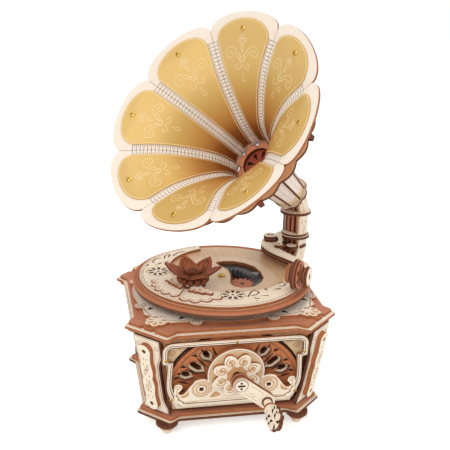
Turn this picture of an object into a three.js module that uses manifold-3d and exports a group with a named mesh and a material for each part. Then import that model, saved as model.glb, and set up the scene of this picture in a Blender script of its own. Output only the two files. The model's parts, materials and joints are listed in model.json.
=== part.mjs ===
// A hand-cranked disc music box in the form of a small horn gramophone, cut from plywood sheet.
// Millimetres, +Z up, the crank faces -Y. The crank turns a pinion, the pinion turns a crown
// gear, and a sun gear, planet gear and ring gear carry the turn up to the turntable.
import * as THREE from 'three';
import Module from 'manifold-3d';
import { mergeVertices } from 'three/addons/utils/BufferGeometryUtils.js';

const wasm = await Module();
wasm.setup();

// Sheet and fits
const PLY = 3;
const FIT_GAP = 0.3;
const RUN_GAP = 0.15;
const OVERRUN = 1;

// Box: half sizes of the base at the ears, its chamfer, and how far the walls flare out
const BASE_HALF_X = 84.9;
const BASE_HALF_Y = 76.6;
const CHAMFER = 26;
const EAR_DEPTH = 6;
const EAR_RUN = 11;
const WALL_FLARE = 10.15;
const WALL_HEIGHT = 78;
const BASE_INSET = 2.6;
const UNDER_INSET = 3.2;
const TOP_INSET = 3.4;

// Feet
const FOOT_X = 60;
const FOOT_Y = 67;
const FOOT_TIP_HEIGHT = 5.5;
const FOOT_TIP_RADIUS = 4.6;
const FOOT_TOP_RADIUS = 6.6;
const FOOT_STEP_RADIUS = 8;
const FOOT_STEP_HEIGHT = 3;
const FOOT_DISC_RADIUS = 10;
const FOOT_DISC_HEIGHT = 3.2;

// Front panel layers, measured inwards from the outer plane
const FRAME_INSET = 2;
const FRAME_HALF_TOP = 64.6;
const FRAME_HALF_LOW = 54.6;
const FRAME_BAND = 4.6;
const FRAME_CORNER = 9;
const FRAME_MARGIN = 3.2;
const FRAME_FOOT = 6.2;
const FRAME_HOOK = 26;
const FRAME_NOTCH = 5;
const FAN_RADIUS = 62.3;
const FAN_CENTRE = 24.8;
const FAN_LOW = 8;
const FAN_WINDOW_TURNS = [57.5, 39.5, 25.5];
const FAN_GORE_TURNS = [49.5, 34, 20.5];
const FAN_WINDOW_HALF = 4.2;
const FAN_SLOT_HALF = 1.5;
const FAN_GORE = 2.2;
const ARCH_RADIUS = 25.5;
const SCROLL_X = 30.4;
const SCROLL_Z = 16.9;
const SCROLL_RADIUS = 10.8;
const SCROLL_EYE = 2.4;
const SCROLL_REACH = 54.6;
const SCROLL_RISE = 15;
const SCROLL_BASE = 12.3;
const SCROLL_TIP_Z = 20.3;
const SCROLL_TIP_RADIUS = 3.6;
const SCROLL_STRIP = 3;
const ROSETTE_RADIUS = 16;
const ROSETTE_LOBE = 6.4;
const ROSETTE_LOBES = 8;

// Side and rear panels
const SIDE_HALF_TOP = 55;
const SIDE_HALF_LOW = 45;
const SIDE_INSET = 3;
const SIDE_SLOT_COUNT = 5;
const SIDE_SLOT_HALF = 3;
const SIDE_SLOT_PITCH = 17;
const SIDE_SLOT_LOW = 20;
const SIDE_SLOT_HIGH = 56;
const REAR_HALF_TOP = 66;
const REAR_HALF_LOW = 56;

// Corner pilasters
const PILASTER_HALF = 14;
const PILASTER_WAIST = 9.6;
const PILASTER_FLARE_RUN = 16;
const STRIP_HALF = 6.6;
const STRIP_MARGIN = 5;
const STRIP_THICK = 5;
const STRIP_EYE = 2;
const STRIP_SWELL = 1.4;

// Deck
const DECK_HALF_X = 83.5;
const DECK_HALF_Y = 71;
const DECK_RADIUS = 86;
const DECK_SCROLL_X = 34;
const DECK_SCROLL_Y = 68;
const DECK_SIDE_X = 78.5;
const DECK_SIDE_Y = 28;
const DECK_SCROLL_RADIUS = 5.6;
const DECK_EDGE_X = 77.5;
const DECK_EDGE_Y = 67;
const PALMETTE_X = 66.5;
const PALMETTE_Y = 60;
const PALMETTE_REACH = 8.5;
const PALMETTE_LOBE = 4.9;
const PALMETTE_SPREAD = 36;
const TRIANGLE_SIDE_X = 71.8;
const TRIANGLE_SIDE_Y = 37;
const TRIANGLE_FRONT_X = 47;
const TRIANGLE_FRONT_Y = 60;
const TRIANGLE_SIZE = 3.2;
const TOP_NOTCH = 2.2;
const TOP_NOTCH_SPACING = 6;
const WELL_RADIUS = 12;
const PLATE_RADIUS = 48;

// Crank shaft, pinion and crown gear
const CRANK_Z = 60;
const SHAFT_RADIUS = 2.5;
const SHAFT_FACETS = 12;
const GEAR_MODULE = 2.5;
const PINION_TEETH = 12;
const DRUM_TEETH = 16;
const CROWN_TEETH = 24;
const PINION_WIDTH = 6;
const CROWN_DISC = 3;
const PEG_RADIUS = 1.35;
const PEG_DEPTH = 2.1;
const TOOTH_CLEARANCE = 0.8;
const BACKLASH = 0.5;

// Sun, planet and ring gear under the turntable
const RING_MODULE = 1.5;
const SUN_TEETH = 10;
const PLANET_TEETH = 16;
const RING_TEETH = 42;
const PLANET_ANGLE = -15;
const RING_OUTER = 54;
const RING_CUT = 2;
const RING_CUTS = 12;
const SLEEVE_RADIUS = 4;
const PLANET_POST = 2.4;
const GEAR_LIFT = 0.6;
const GEAR_WIDTH = 5.4;

// Frame of the movement
const BEARING_MID_Y = -21;
const BEARING_REAR_Y = 15;
const BEARING_HALF = 16;
const BEARING_REACH = 46;
const BRIDGE_RISE = 6.5;
const DRUM_ANGLE = -17;
const DRUM_RADIUS = 8;
const DRUM_GAP = 2;
const DRUM_AXLE = 1.6;
const DRUM_PIN = 0.5;
const DRUM_PIN_RISE = 0.9;
const DRUM_ROWS = 2;
const DRUM_PINS = 4;
const COMB_TEETH = 10;
const COMB_SLIT = 0.6;
const COMB_THICK = 1.4;
const COMB_REACH = 17;
const COMB_GAP = 1.6;
const BED_WALL = 6;

// Crank outside
const ARM_Y = 93.6;
const ARM_THICK = 6;
const ARM_HALF = 7;
const ARM_RUN = 23.2;
const ARM_DROP = 17.6;
const CAP_RADIUS = 4.6;
const CAP_RISE = 1.2;
const PIN_RADIUS = 3;
const PIN_SHANK = 4;
const COLLAR_RADIUS = 5.8;
const COLLAR_Y = 110.5;
const COLLAR_WIDTH = 3;
const GRIP_START = 112.5;
const GRIP_END = 142;
const GRIP_HALF = 8;
const GRIP_THICK = 9;
const GRIP_TILT = 58;
const GRIP_SWELL = 2;
const GRIP_SLOT = 1.4;
const GRIP_SLOT_IN = 3.9;
const GRIP_SLOT_OUT = 4.6;

// Turntable
const TABLE_LIFT = 7.3;
const TABLE_RADIUS = 82.6;
const TABLE_PLY = 2.8;
const TABLE_RIBS = 20;
const TABLE_RIB = 0.7;
const RIM_LIP = 0.6;
const RECORD_RADIUS = 77.2;
const RECORD_THICK = 2.7;
const SPINDLE_RADIUS = 2;
const SHOULDER_RADIUS = 3.4;
const SHOULDER_HEIGHT = 0.5;
const HEAD_RADIUS = 3.6;
const HEAD_HEIGHT = 1.7;
const WINDOW_X = 19;
const WINDOW_Y = 4;
const WINDOW_REACH = 34;
const STUD_RADIUS = 3.5;
const STUD_HEIGHT = 4.6;
const STUD_X = 33.4;
const STUD_Y = 4;
const CRESCENT_RADIUS = 76.8;
const CRESCENT_BITE = 58.5;
const CRESCENT_SHIFT_X = 10;
const CRESCENT_SHIFT_Y = 12;
const CRESCENT_OPEN_FROM = 6;
const CRESCENT_OPEN_TO = 98;
const LEAF_REACH = 41;
const LEAF_HALF = 9;
const LEAF_THIN = 1.4;
const LEAF_HUB = 12;
const LEAF_TURNS = [165, 195, 232, 268, 298];
const FLOWER_X = -31;
const FLOWER_Y = -24;
const FLOWER_TURN = -18;
const FLOWER_PETALS = 6;
const FLOWER_REACH = 27;
const FLOWER_HALF = 6.4;
const FLOWER_SHEET = 2;
const FLOWER_RISE = 15.5;
const FLOWER_FIN = 15;
const FLOWER_BUD = 6;
const FLOWER_BUD_HEIGHT = 15;

// Tonearm
const PIVOT_X = 61.5;
const PIVOT_Y = 62;
const POST_RADIUS = 2.2;
const BRACKET_LIFT = 13.8;
const BRACKET_HALF = 7;
const TONE_LIFT = 17.6;
const TONE_PLY = 2.85;
const KNOB_RADIUS = 6.9;
const KNOB_HEIGHT = 6;
const TONE_EYE = 3;
const BOX_X = 59.5;
const BOX_Y = -49;
const BOX_RISE = 30.6;
const BOX_TURN = -33.5;
const BOX_RADIUS = 13.6;
const BOX_DISC = 3;
const BOX_RING_RADIUS = 9;
const BOX_RING = 6;
const BOX_FACE_RADIUS = 12.5;
const BOX_FACE = 2.6;
const BOX_HOLE = 3.4;
const BOX_CAP_RADIUS = 9.5;
const BOX_CAP = 3.6;
const BOX_CAP_HOLE = 2.6;
const BOX_SPACER = 5;
const BOX_GAPS = 6;
const BOX_RIB = 2;
const NEEDLE_HALF = 2.4;

// Column
const COLUMN_X = 89.6;
const COLUMN_Y = 71.3;
const COLUMN_TURN = 37.5;
const CORE_WIDE = 16.4;
const CORE_DEEP = 12;
const PANEL_LAP = 1;
const FOOT_BACK = 10;
const FOOT_RISE = 19;
const FOOT_LEAN = 26;
const ELBOW_RADIUS = 24;
const COLLAR_LOW_LIFT = 23.8;
const COLLAR_LOW_RADIUS = 15.5;
const COLLAR_HIGH_LIFT = 49.5;
const COLLAR_HIGH_RADIUS = 15.8;
const COLLAR_TEETH = 12;
const COLLAR_CUT = 1.5;
const HOOK_RADIUS = 4;
const HOOK_REACH = 31;

// Horn: how far its axis meets the column's above the deck, its tilt, and how far back from
// the mouth that is; then the depth and radius of its corner seams, from mouth to throat
const ELBOW_LIFT = 67.2;
const HORN_DIP = 37.3;
const HORN_AXIS_LENGTH = 165.2;
const HORN_SIDES = 8;
const HORN_START = -119.8;
const HORN_MOUTH = 97.5;
const HORN_DEPTH = 88;
const HORN_BULGE = 17;
const PETAL_THICK = 2.4;
const PETAL_GAP = 0.5;
const PETAL_MARGIN = 5;
const PETAL_CARD = 0.6;
const THROAT_L = 88.4;
const THROAT_RADIUS = 23.4;
const THROAT_THICK = 3;
const THROAT_SLOTS = 8;
const THROAT_SLOT_IN = 8;
const THROAT_SLOT_OUT = 16;
const THROAT_SLOT_HALF = 3;
const RING_L = 22;
const RING_RADIUS = 88;
const RING_LOBE = 3;
const RING_LOBES = 24;
const RING_CLEAR = 2.1;
const NECK_RADIUS = 23.4;
const NECK_MID_L = 128;
const NECK_MID_RADIUS = 19;
const NECK_END_RADIUS = 16.2;
const NECK_WALL = 3;
const NECK_RING_RADIUS = 17.8;
const NECK_RING_THICK = 2.7;
const NECK_RING_LOBES = 12;

// Steps on curves
const SEAM_ROWS = 6;
const CARD_ROWS = 5;
const PETAL_COLUMNS = 6;
const ARC_STEPS = 4;
const END_STEPS = 8;
const PEG_STEPS = 4;
const LOBE_STEPS = 3;
const LEAF_STEPS = 4;
const DISC_STEPS = 12;
const WIDE_STEPS = 32;

// Shares of the size that they follow
const EASE_SHARES = [0, 0.33, 0.67, 1];
const HALF_SHARE = 0.5;
const DEDENDUM_SHARE = 1.2;
const TIP_SHARE = 0.55;
const RIM_END_SHARE = 0.97;
const RIM_SWEEP_SHARE = 0.3;
// Fan windows from the fan's middle: how far out they stand and half their length, as shares of
// its radius; then how far out the small three-sided cuts stand
const FAN_WINDOW_SHARES = [[0.76, 0.03], [0.715, 0.06], [0.767, 0.025]];
const FAN_GORE_SHARE = 0.9;
// Ornament leaves round the flower, as shares of the longest, and the upper layer's size
const LEAF_REACH_SHARES = [1, 0.78, 0.7, 0.85, 1];
const LEAF_UPPER_SHARE = 0.62;
// Horn seam: depth and radius from mouth to throat, as shares of the depth and the mouth
const SEAM_SHARES = [[0, 1], [0.17, 0.72], [0.34, 0.54], [0.51, 0.405], [0.67, 0.308], [0.86, 0.252],
  [1, 0.241]];
// Record window, round its middle, as shares of its reach
const WINDOW_SHARES = [[-0.53, 0.93], [0, 0.94], [0.5, 0.45], [0.57, -0.4], [0.23, -0.93], [-0.2, -1],
  [-0.42, -0.72], [-0.32, -0.2], [-0.3, 0.3], [-0.45, 0.6]];
// Tonearm middle line: along and across from the pivot, and half width, as shares of its reach
const TONE_PATH_SHARES = [[0, 0, 0.077], [0.108, -0.036, 0.072], [0.216, -0.032, 0.063],
  [0.306, -0.005, 0.059], [0.414, 0.05, 0.056], [0.54, 0.113, 0.05], [0.667, 0.14, 0.045],
  [0.793, 0.113, 0.043], [0.9, 0.06, 0.041],
  [0.95, 0.03, 0.03]];
// Finger of the low collar, from the column's middle, as shares of its reach
const HOOK_SHARES = [[0, 0], [-0.4, 0.08], [-0.6, -0.2], [-0.62, -0.56], [-0.8, -0.99]];

// Worked-out sizes
const FULL = 2 * Math.PI;
const BASE_LOW = FOOT_TIP_HEIGHT + FOOT_STEP_HEIGHT + FOOT_DISC_HEIGHT;
const FLOOR_Z = BASE_LOW + PLY;
const WALL_LOW = FLOOR_Z + PLY;
const WALL_HIGH = WALL_LOW + WALL_HEIGHT;
const UNDER_HIGH = WALL_HIGH + PLY;
const MOULD_HIGH = UNDER_HIGH + PLY;
const TOP_Z = MOULD_HIGH + PLY;
const DECK_Z = TOP_Z + PLY;
const TABLE_LOW = DECK_Z + TABLE_LIFT;
const RECORD_LOW = TABLE_LOW + TABLE_PLY;
const RECORD_HIGH = RECORD_LOW + RECORD_THICK;
const BRIDGE_Z = CRANK_Z + BRIDGE_RISE;
const LEAN = Math.atan(WALL_FLARE / WALL_HEIGHT);
const CORNER_LEAN = Math.atan((WALL_FLARE * Math.SQRT2) / WALL_HEIGHT);
const PINION_R = (GEAR_MODULE * PINION_TEETH) / 2;
const CROWN_R = (GEAR_MODULE * CROWN_TEETH) / 2;
const DRUM_GEAR_R = (GEAR_MODULE * DRUM_TEETH) / 2;
const SUN_R = (RING_MODULE * SUN_TEETH) / 2;
const PLANET_R = (RING_MODULE * PLANET_TEETH) / 2;
const RING_R = (RING_MODULE * RING_TEETH) / 2;

const rad = (degrees) => THREE.MathUtils.degToRad(degrees);

// Outline helpers: every outline is a list of [x, y] points

function arc(x, y, radius, from, to, steps) {
  return Array.from({ length: steps + 1 }, (_, i) => {
    const angle = from + ((to - from) * i) / steps;
    return [x + radius * Math.cos(angle), y + radius * Math.sin(angle)];
  });
}

function round(x, y, radius, steps = DISC_STEPS) {
  return arc(x, y, radius, 0, FULL, steps).slice(0, -1);
}

function box(halfX, halfY, x = 0, y = 0) {
  return [[x - halfX, y - halfY], [x + halfX, y - halfY], [x + halfX, y + halfY], [x - halfX, y + halfY]];
}

function pill(x0, y0, x1, y1, half, steps = ARC_STEPS) {
  const angle = Math.atan2(y1 - y0, x1 - x0);
  const quarter = Math.PI / 2;
  return [
    ...arc(x1, y1, half, angle - quarter, angle + quarter, steps),
    ...arc(x0, y0, half, angle + quarter, angle + 3 * quarter, steps),
  ];
}

function lobed(x, y, radius, rise, lobes, steps) {
  return Array.from({ length: lobes * steps }, (_, i) => {
    const r = radius + rise * Math.abs(Math.sin((Math.PI * i) / steps));
    const angle = (FULL * i) / (lobes * steps);
    return [x + r * Math.cos(angle), y + r * Math.sin(angle)];
  });
}

function turned(points, angle, x = 0, y = 0) {
  const [c, s] = [Math.cos(angle), Math.sin(angle)];
  return points.map(([px, py]) => [x + px * c - py * s, y + px * s + py * c]);
}

function mirrored(points) {
  return points.map(([x, y]) => [-x, y]).reverse();
}

// The plan of the box: a long octagon whose chamfers end in ears with an ogee behind each
function earPlan(grow) {
  const a = BASE_HALF_X + grow;
  const b = BASE_HALF_Y + grow;
  const c = CHAMFER + grow * (2 - Math.SQRT2);
  const ease = (share) => EAR_DEPTH * (share * share * (3 - 2 * share) - 1);
  const side = EASE_SHARES.map((share) => [a + ease(share), b - c - EAR_RUN * (1 - share)]);
  const front = EASE_SHARES.map((share) => [a - c - EAR_RUN * (1 - share), b + ease(share)]).reverse();
  const corner = [...side, ...front];
  const left = mirrored(corner);
  const below = (points) => points.map(([x, y]) => [-x, -y]);
  return [...corner, ...left, ...below(corner), ...below(left)];
}

// Solid helpers

function toSolid(geometry) {
  const bare = geometry.clone();
  bare.deleteAttribute('normal');
  bare.deleteAttribute('uv');
  const merged = mergeVertices(bare);
  return new wasm.Manifold(new wasm.Mesh({
    numProp: 3,
    vertProperties: new Float32Array(merged.attributes.position.array),
    triVerts: new Uint32Array(merged.index.array),
  }));
}

function toGeometry(solid) {
  const mesh = solid.getMesh();
  const shared = new THREE.BufferGeometry();
  shared.setAttribute('position', new THREE.BufferAttribute(new Float32Array(mesh.vertProperties), 3));
  shared.setIndex(new THREE.BufferAttribute(new Uint32Array(mesh.triVerts), 1));
  const geometry = shared.toNonIndexed();
  geometry.computeVertexNormals();
  return geometry;
}

function slab(points, low, high, holes = []) {
  const shape = new THREE.Shape(points.map(([x, y]) => new THREE.Vector2(x, y)));
  for (const hole of holes) {
    shape.holes.push(new THREE.Path(hole.map(([x, y]) => new THREE.Vector2(x, y))));
  }
  const geometry = new THREE.ExtrudeGeometry(shape, { depth: high - low, bevelEnabled: false });
  geometry.translate(0, 0, low);
  return toSolid(geometry);
}

function cut(solid, ...tools) {
  return tools.reduce((left, tool) => left.subtract(tool), solid);
}

function join(...solids) {
  return solids.reduce((left, right) => left.add(right));
}

function moved(solid, matrix) {
  return solid.transform(matrix.toArray());
}

function lathe(profile, steps = DISC_STEPS) {
  const geometry = new THREE.LatheGeometry(profile.map(([r, z]) => new THREE.Vector2(r, z)), steps);
  geometry.rotateX(Math.PI / 2);
  return toSolid(geometry);
}

// A rod along Y between two places, round the line x, z
function rodY(x, z, radius, from, to, steps = SHAFT_FACETS) {
  const rod = slab(round(0, 0, radius, steps), -to, -from);
  return moved(rod, new THREE.Matrix4().makeRotationX(Math.PI / 2).setPosition(x, 0, z));
}

const PAINT = {
  cream: ['#ead9b8', 0.72, 0],
  brown: ['#a9623f', 0.7, 0],
  dark: ['#5a2f20', 0.66, 0],
  red: ['#8d3d27', 0.68, 0],
  gold: ['#c9a24e', 0.42, 0.35],
  brass: ['#c8a24a', 0.3, 1],
  steel: ['#b9bcc0', 0.28, 1],
  grey: ['#8e9298', 0.45, 0.2],
};

const assembly = new THREE.Group();

function piece(name, paint, solid, parent = assembly) {
  const [color, roughness, metalness] = PAINT[paint];
  const material = new THREE.MeshStandardMaterial({ color, roughness, metalness });
  const mesh = new THREE.Mesh(toGeometry(solid), material);
  mesh.name = name;
  parent.add(mesh);
  return mesh;
}

// Box

function foot() {
  const stepLow = FOOT_TIP_HEIGHT;
  const stepHigh = stepLow + FOOT_STEP_HEIGHT;
  return lathe([
    [0, 0], [FOOT_TIP_RADIUS, 0], [FOOT_TOP_RADIUS, stepLow], [FOOT_STEP_RADIUS, stepLow],
    [FOOT_STEP_RADIUS, stepHigh], [FOOT_DISC_RADIUS, stepHigh], [FOOT_DISC_RADIUS, BASE_LOW], [0, BASE_LOW],
  ], SHAFT_FACETS);
}

const CORNERS = [['front_left', -1, -1], ['front_right', 1, -1], ['rear_left', -1, 1], ['rear_right', 1, 1]];

for (const [place, x, y] of CORNERS) {
  piece(`foot_${place}`, 'dark', foot()).position.set(x * FOOT_X, y * FOOT_Y, 0);
}

const well = round(0, 0, WELL_RADIUS);

piece('base_plate', 'cream', slab(earPlan(0), BASE_LOW, FLOOR_Z));
piece('base_moulding', 'brown', slab(earPlan(-BASE_INSET), FLOOR_Z, WALL_LOW));
piece('under_moulding', 'brown', slab(earPlan(WALL_FLARE - UNDER_INSET), WALL_HIGH, UNDER_HIGH, [well]));
piece('top_moulding', 'cream', slab(earPlan(WALL_FLARE), UNDER_HIGH, MOULD_HIGH, [well]));

function topPlate() {
  const grow = WALL_FLARE - TOP_INSET;
  const plate = slab(earPlan(grow), MOULD_HIGH, TOP_Z, [well]);
  const halfChamfer = (CHAMFER + grow * (2 - Math.SQRT2)) / 2;
  const mid = [BASE_HALF_X, BASE_HALF_Y].map((half) => half + grow - halfChamfer);
  const notches = CORNERS.flatMap(([, x, y]) => [-1, 1].map((end) => {
    const shift = (end * TOP_NOTCH_SPACING) / Math.SQRT2;
    const centre = [x * (mid[0] + shift), y * (mid[1] - shift)];
    return slab(round(...centre, TOP_NOTCH, ARC_STEPS), MOULD_HIGH - OVERRUN, TOP_Z + OVERRUN);
  }));
  return cut(plate, ...notches);
}

piece('top_plate', 'brown', topPlate());

// Deck ring: a bulging plate with round scroll ends and a palmette at three corners

function deckPlan() {
  const reach = Math.min(DECK_HALF_X, DECK_RADIUS);
  const scrollAngle = Math.atan2(DECK_SCROLL_Y, DECK_SCROLL_X);
  const oval = (from, to, rx, ry) => arc(0, 0, 1, from, to, ARC_STEPS).map(([c, s]) => [rx * c, ry * s]);
  const sideAngle = Math.asin(DECK_SIDE_Y / DECK_RADIUS);
  const side = oval(-sideAngle, sideAngle, reach, DECK_RADIUS);
  const frontAngle = Math.PI / 2 - scrollAngle;
  const front = oval(scrollAngle, scrollAngle + 2 * frontAngle, DECK_RADIUS, DECK_HALF_Y);
  const [halfReach, spread] = [PALMETTE_REACH / 2, PALMETTE_REACH + PALMETTE_LOBE];
  const corner = [
    [DECK_EDGE_X, DECK_SIDE_Y + DECK_SCROLL_RADIUS], [DECK_EDGE_X, PALMETTE_Y - spread],
    [PALMETTE_X + PALMETTE_LOBE, PALMETTE_Y - halfReach],
    [PALMETTE_X - halfReach, PALMETTE_Y + PALMETTE_LOBE], [PALMETTE_X - spread, DECK_EDGE_Y],
  ];
  const left = mirrored(corner);
  const half = [...side, ...corner, ...front, ...left];
  return [...half, ...half.map(([x, y]) => [-x, -y])];
}

function palmette(x, y) {
  const outward = Math.atan2(y, x);
  const lobes = [-1, 0, 1].map((k) => {
    const angle = outward + k * rad(PALMETTE_SPREAD);
    const [rootX, rootY] = [x * PALMETTE_X, y * PALMETTE_Y];
    const tip = [rootX + PALMETTE_REACH * Math.cos(angle), rootY + PALMETTE_REACH * Math.sin(angle)];
    return slab(pill(rootX, rootY, ...tip, PALMETTE_LOBE, ARC_STEPS / 2), TOP_Z, DECK_Z);
  });
  return join(...lobes);
}

function deckRing() {
  const whole = slab(deckPlan(), TOP_Z, DECK_Z, [round(0, 0, PLATE_RADIUS + FIT_GAP, WIDE_STEPS)]);
  const ends = CORNERS.flatMap(([, x, y]) => [
    slab(round(x * DECK_SCROLL_X, y * DECK_SCROLL_Y, DECK_SCROLL_RADIUS, END_STEPS), TOP_Z, DECK_Z),
    slab(round(x * DECK_SIDE_X, y * DECK_SIDE_Y, DECK_SCROLL_RADIUS, END_STEPS), TOP_Z, DECK_Z),
  ]);
  const leaves = CORNERS.slice(0, 3).map(([, x, y]) => palmette(x, y));
  const size = TRIANGLE_SIZE;
  const places = [[TRIANGLE_SIDE_X, TRIANGLE_SIDE_Y], [TRIANGLE_FRONT_X, TRIANGLE_FRONT_Y]];
  const holes = CORNERS.flatMap(([, x, y]) => places.map(([px, py]) => slab(
    round(px * x, py * y, size, 3), TOP_Z - OVERRUN, DECK_Z + OVERRUN)));
  return cut(join(whole, ...ends, ...leaves), ...holes);
}

// Leaning panels. A panel is drawn with x across, y up its slope from the wall's foot and z
// outwards, then stood up in a group that carries its lean.

function panelGroup(turn, x, y, lean) {
  const place = new THREE.Group();
  place.position.set(x, y, WALL_LOW);
  place.rotation.z = turn;
  const slope = new THREE.Group();
  slope.rotation.x = Math.PI / 2 + lean;
  place.add(slope);
  assembly.add(place);
  return slope;
}

const PANEL_HIGH = WALL_HEIGHT / Math.cos(LEAN);
const CORNER_HIGH = WALL_HEIGHT / Math.cos(CORNER_LEAN);
// Height up the slope at which the level crank axis goes through the front layers
const CRANK_SLOPE = (CRANK_Z - WALL_LOW) / Math.cos(LEAN);
const frontGroup = panelGroup(0, 0, EAR_DEPTH - BASE_HALF_Y, LEAN);
const rearGroup = panelGroup(Math.PI, 0, BASE_HALF_Y - EAR_DEPTH, LEAN);
const leftGroup = panelGroup(-Math.PI / 2, EAR_DEPTH - BASE_HALF_X, 0, LEAN);
const rightGroup = panelGroup(Math.PI / 2, BASE_HALF_X - EAR_DEPTH, 0, LEAN);

// Layers of the front panel, outwards positive
const FRAME_BACK = -FRAME_INSET - PLY;
const FAN_BACK = FRAME_BACK - FIT_GAP - PLY;
const WALL_BACK = FAN_BACK - FIT_GAP - PLY;

// The sheet ends level with the mouldings, so its foot and head are cut flat after leaning
function levelled(solid, lean, high) {
  const span = 2 * BASE_HALF_X;
  const wedge = (from, to) => {
    const geometry = new THREE.BoxGeometry(span * 2, span, to - from);
    geometry.translate(0, 0, (from + to) / 2);
    geometry.rotateX(-Math.PI / 2 - lean);
    return toSolid(geometry);
  };
  return cut(solid, wedge(-span, FIT_GAP), wedge(high - FIT_GAP, span));
}

function trapezoid(low, high, tall, rise = 0) {
  return [[-low, -rise], [low, -rise], [high, tall + rise], [-high, tall + rise]];
}

function frontWall() {
  const wall = slab(trapezoid(FRAME_HALF_LOW, FRAME_HALF_TOP, PANEL_HIGH, PLY), WALL_BACK, WALL_BACK + PLY);
  const hole = slab(round(0, CRANK_SLOPE, SHAFT_RADIUS + 2 * PLY, DISC_STEPS), WALL_BACK - OVERRUN, PLY);
  const slots = fanWindows(FAN_SLOT_HALF).map((outline) => slab(outline, WALL_BACK - OVERRUN, PLY));
  return levelled(cut(wall, hole, ...slots), LEAN, WALL_HEIGHT);
}

function fanWindows(half) {
  return FAN_WINDOW_SHARES.flatMap(([out, long], i) => {
    const reach = long * FAN_RADIUS;
    const drop = arc(reach, 0, half, -Math.PI / 2, Math.PI / 2, ARC_STEPS / 2);
    const outline = turned([[-reach - half, 0], [-reach, -half], ...drop, [-reach, half]],
      rad(FAN_WINDOW_TURNS[i]), ...fanPlace(out, FAN_WINDOW_TURNS[i]));
    return [outline, mirrored(outline)];
  });
}

// A place on the fan: how far out from its middle, as a share of its radius, and at what turn
function fanPlace(out, turn) {
  const r = out * FAN_RADIUS;
  return [r * Math.cos(rad(turn)), CRANK_SLOPE - FAN_CENTRE + r * Math.sin(rad(turn))];
}

function fanFretwork() {
  const [low, high] = [FAN_BACK, FAN_BACK + PLY];
  const through = (outline) => slab(outline, low - OVERRUN, high + OVERRUN);
  const middle = CRANK_SLOPE - FAN_CENTRE;
  const arch = slab(round(0, middle, FAN_RADIUS, WIDE_STEPS), low, high);
  const sides = slab(trapezoid(FRAME_HALF_LOW - FIT_GAP, FRAME_HALF_TOP - FIT_GAP, PANEL_HIGH), low, high);
  const below = through(box(BASE_HALF_X, FAN_RADIUS, 0, FAN_LOW - FAN_RADIUS));
  const eye = through(round(0, CRANK_SLOPE, ARCH_RADIUS - PLY));
  const windows = fanWindows(FAN_WINDOW_HALF).map(through);
  const gores = FAN_GORE_TURNS.flatMap((turn) => {
    const gore = round(...fanPlace(FAN_GORE_SHARE, turn), FAN_GORE, 3);
    return [through(gore), through(mirrored(gore))];
  });
  return levelled(cut(arch.intersect(sides), below, eye, ...windows, ...gores), LEAN, WALL_HEIGHT);
}

// Frame: an outer outline with rounded shoulders and notched feet, and a window of the same form
function frameOutline(inward) {
  const top = PANEL_HIGH - FRAME_MARGIN - inward;
  const low = FRAME_FOOT + inward;
  const halfTop = FRAME_HALF_TOP - inward;
  const halfLow = FRAME_HALF_LOW + FRAME_NOTCH - inward;
  const corner = FRAME_CORNER - inward;
  const hook = PANEL_HIGH - FRAME_HOOK + inward / 2;
  const right = [
    [halfLow - FRAME_NOTCH - PLY, low], [halfLow - FRAME_NOTCH, low + FRAME_NOTCH],
    [halfLow - FRAME_NOTCH / 2, low + 2 * FRAME_NOTCH],
    [halfTop - FRAME_NOTCH, hook], [halfTop, hook + PLY],
    ...arc(halfTop - corner, top - corner, corner, 0, Math.PI / 2, ARC_STEPS),
  ];
  return [...right, ...mirrored(right)];
}

function frontFrame() {
  const ring = slab(frameOutline(0), FRAME_BACK, FRAME_BACK + PLY, [frameOutline(FRAME_BAND)]);
  return levelled(ring, LEAN, WALL_HEIGHT);
}

// Scroll panel: a disc between two volutes whose tails run out to small curled tips
function scrollPanel() {
  const [low, high] = [FRAME_BACK + PLY + FIT_GAP, FRAME_BACK + 2 * PLY + FIT_GAP];
  const floor = FRAME_FOOT + FRAME_BAND + FIT_GAP;
  const arch = slab(round(0, CRANK_SLOPE, ARCH_RADIUS, 2 * DISC_STEPS), low, high);
  const centre = floor + SCROLL_Z;
  const tip = floor + SCROLL_TIP_Z;
  const through = (outline) => slab(outline, low - OVERRUN, high + OVERRUN);
  const halfBase = SCROLL_BASE / 2;
  const strip = slab(box(SCROLL_REACH - SCROLL_RADIUS, halfBase, 0, floor + halfBase), low, high);
  const halves = [1, -1].flatMap((side) => {
    const volute = slab(round(side * SCROLL_X, centre, SCROLL_RADIUS), low, high);
    const wave = EASE_SHARES.map((share) => [
      SCROLL_REACH - 2 * SCROLL_STRIP - (SCROLL_REACH - 3 * SCROLL_STRIP - SCROLL_X) * share,
      floor + SCROLL_BASE + SCROLL_RISE * share * share * (3 - 2 * share),
    ]);
    const tail = [[SCROLL_X - SCROLL_RADIUS, floor], [SCROLL_REACH - 2 * SCROLL_STRIP, floor],
      [SCROLL_REACH - SCROLL_STRIP / 2, floor + SCROLL_BASE / 2], [SCROLL_REACH, floor + SCROLL_BASE],
      [SCROLL_REACH, tip], [SCROLL_REACH - SCROLL_STRIP, tip],
      [SCROLL_REACH - SCROLL_STRIP, floor + SCROLL_BASE + SCROLL_STRIP],
      ...wave, [SCROLL_X - SCROLL_RADIUS, centre]];
    const curlX = side * (SCROLL_REACH - SCROLL_TIP_RADIUS);
    const curl = slab(round(curlX, tip, SCROLL_TIP_RADIUS, END_STEPS), low, high);
    return [volute, slab(side > 0 ? tail : mirrored(tail), low, high), curl];
  });
  const eyes = [1, -1].map((side) => through(round(side * SCROLL_X, centre, SCROLL_EYE, END_STEPS)));
  const bore = through(round(0, CRANK_SLOPE, SHAFT_RADIUS + PLY, SHAFT_FACETS));
  return cut(join(arch, strip, ...halves), ...eyes, bore);
}

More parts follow.
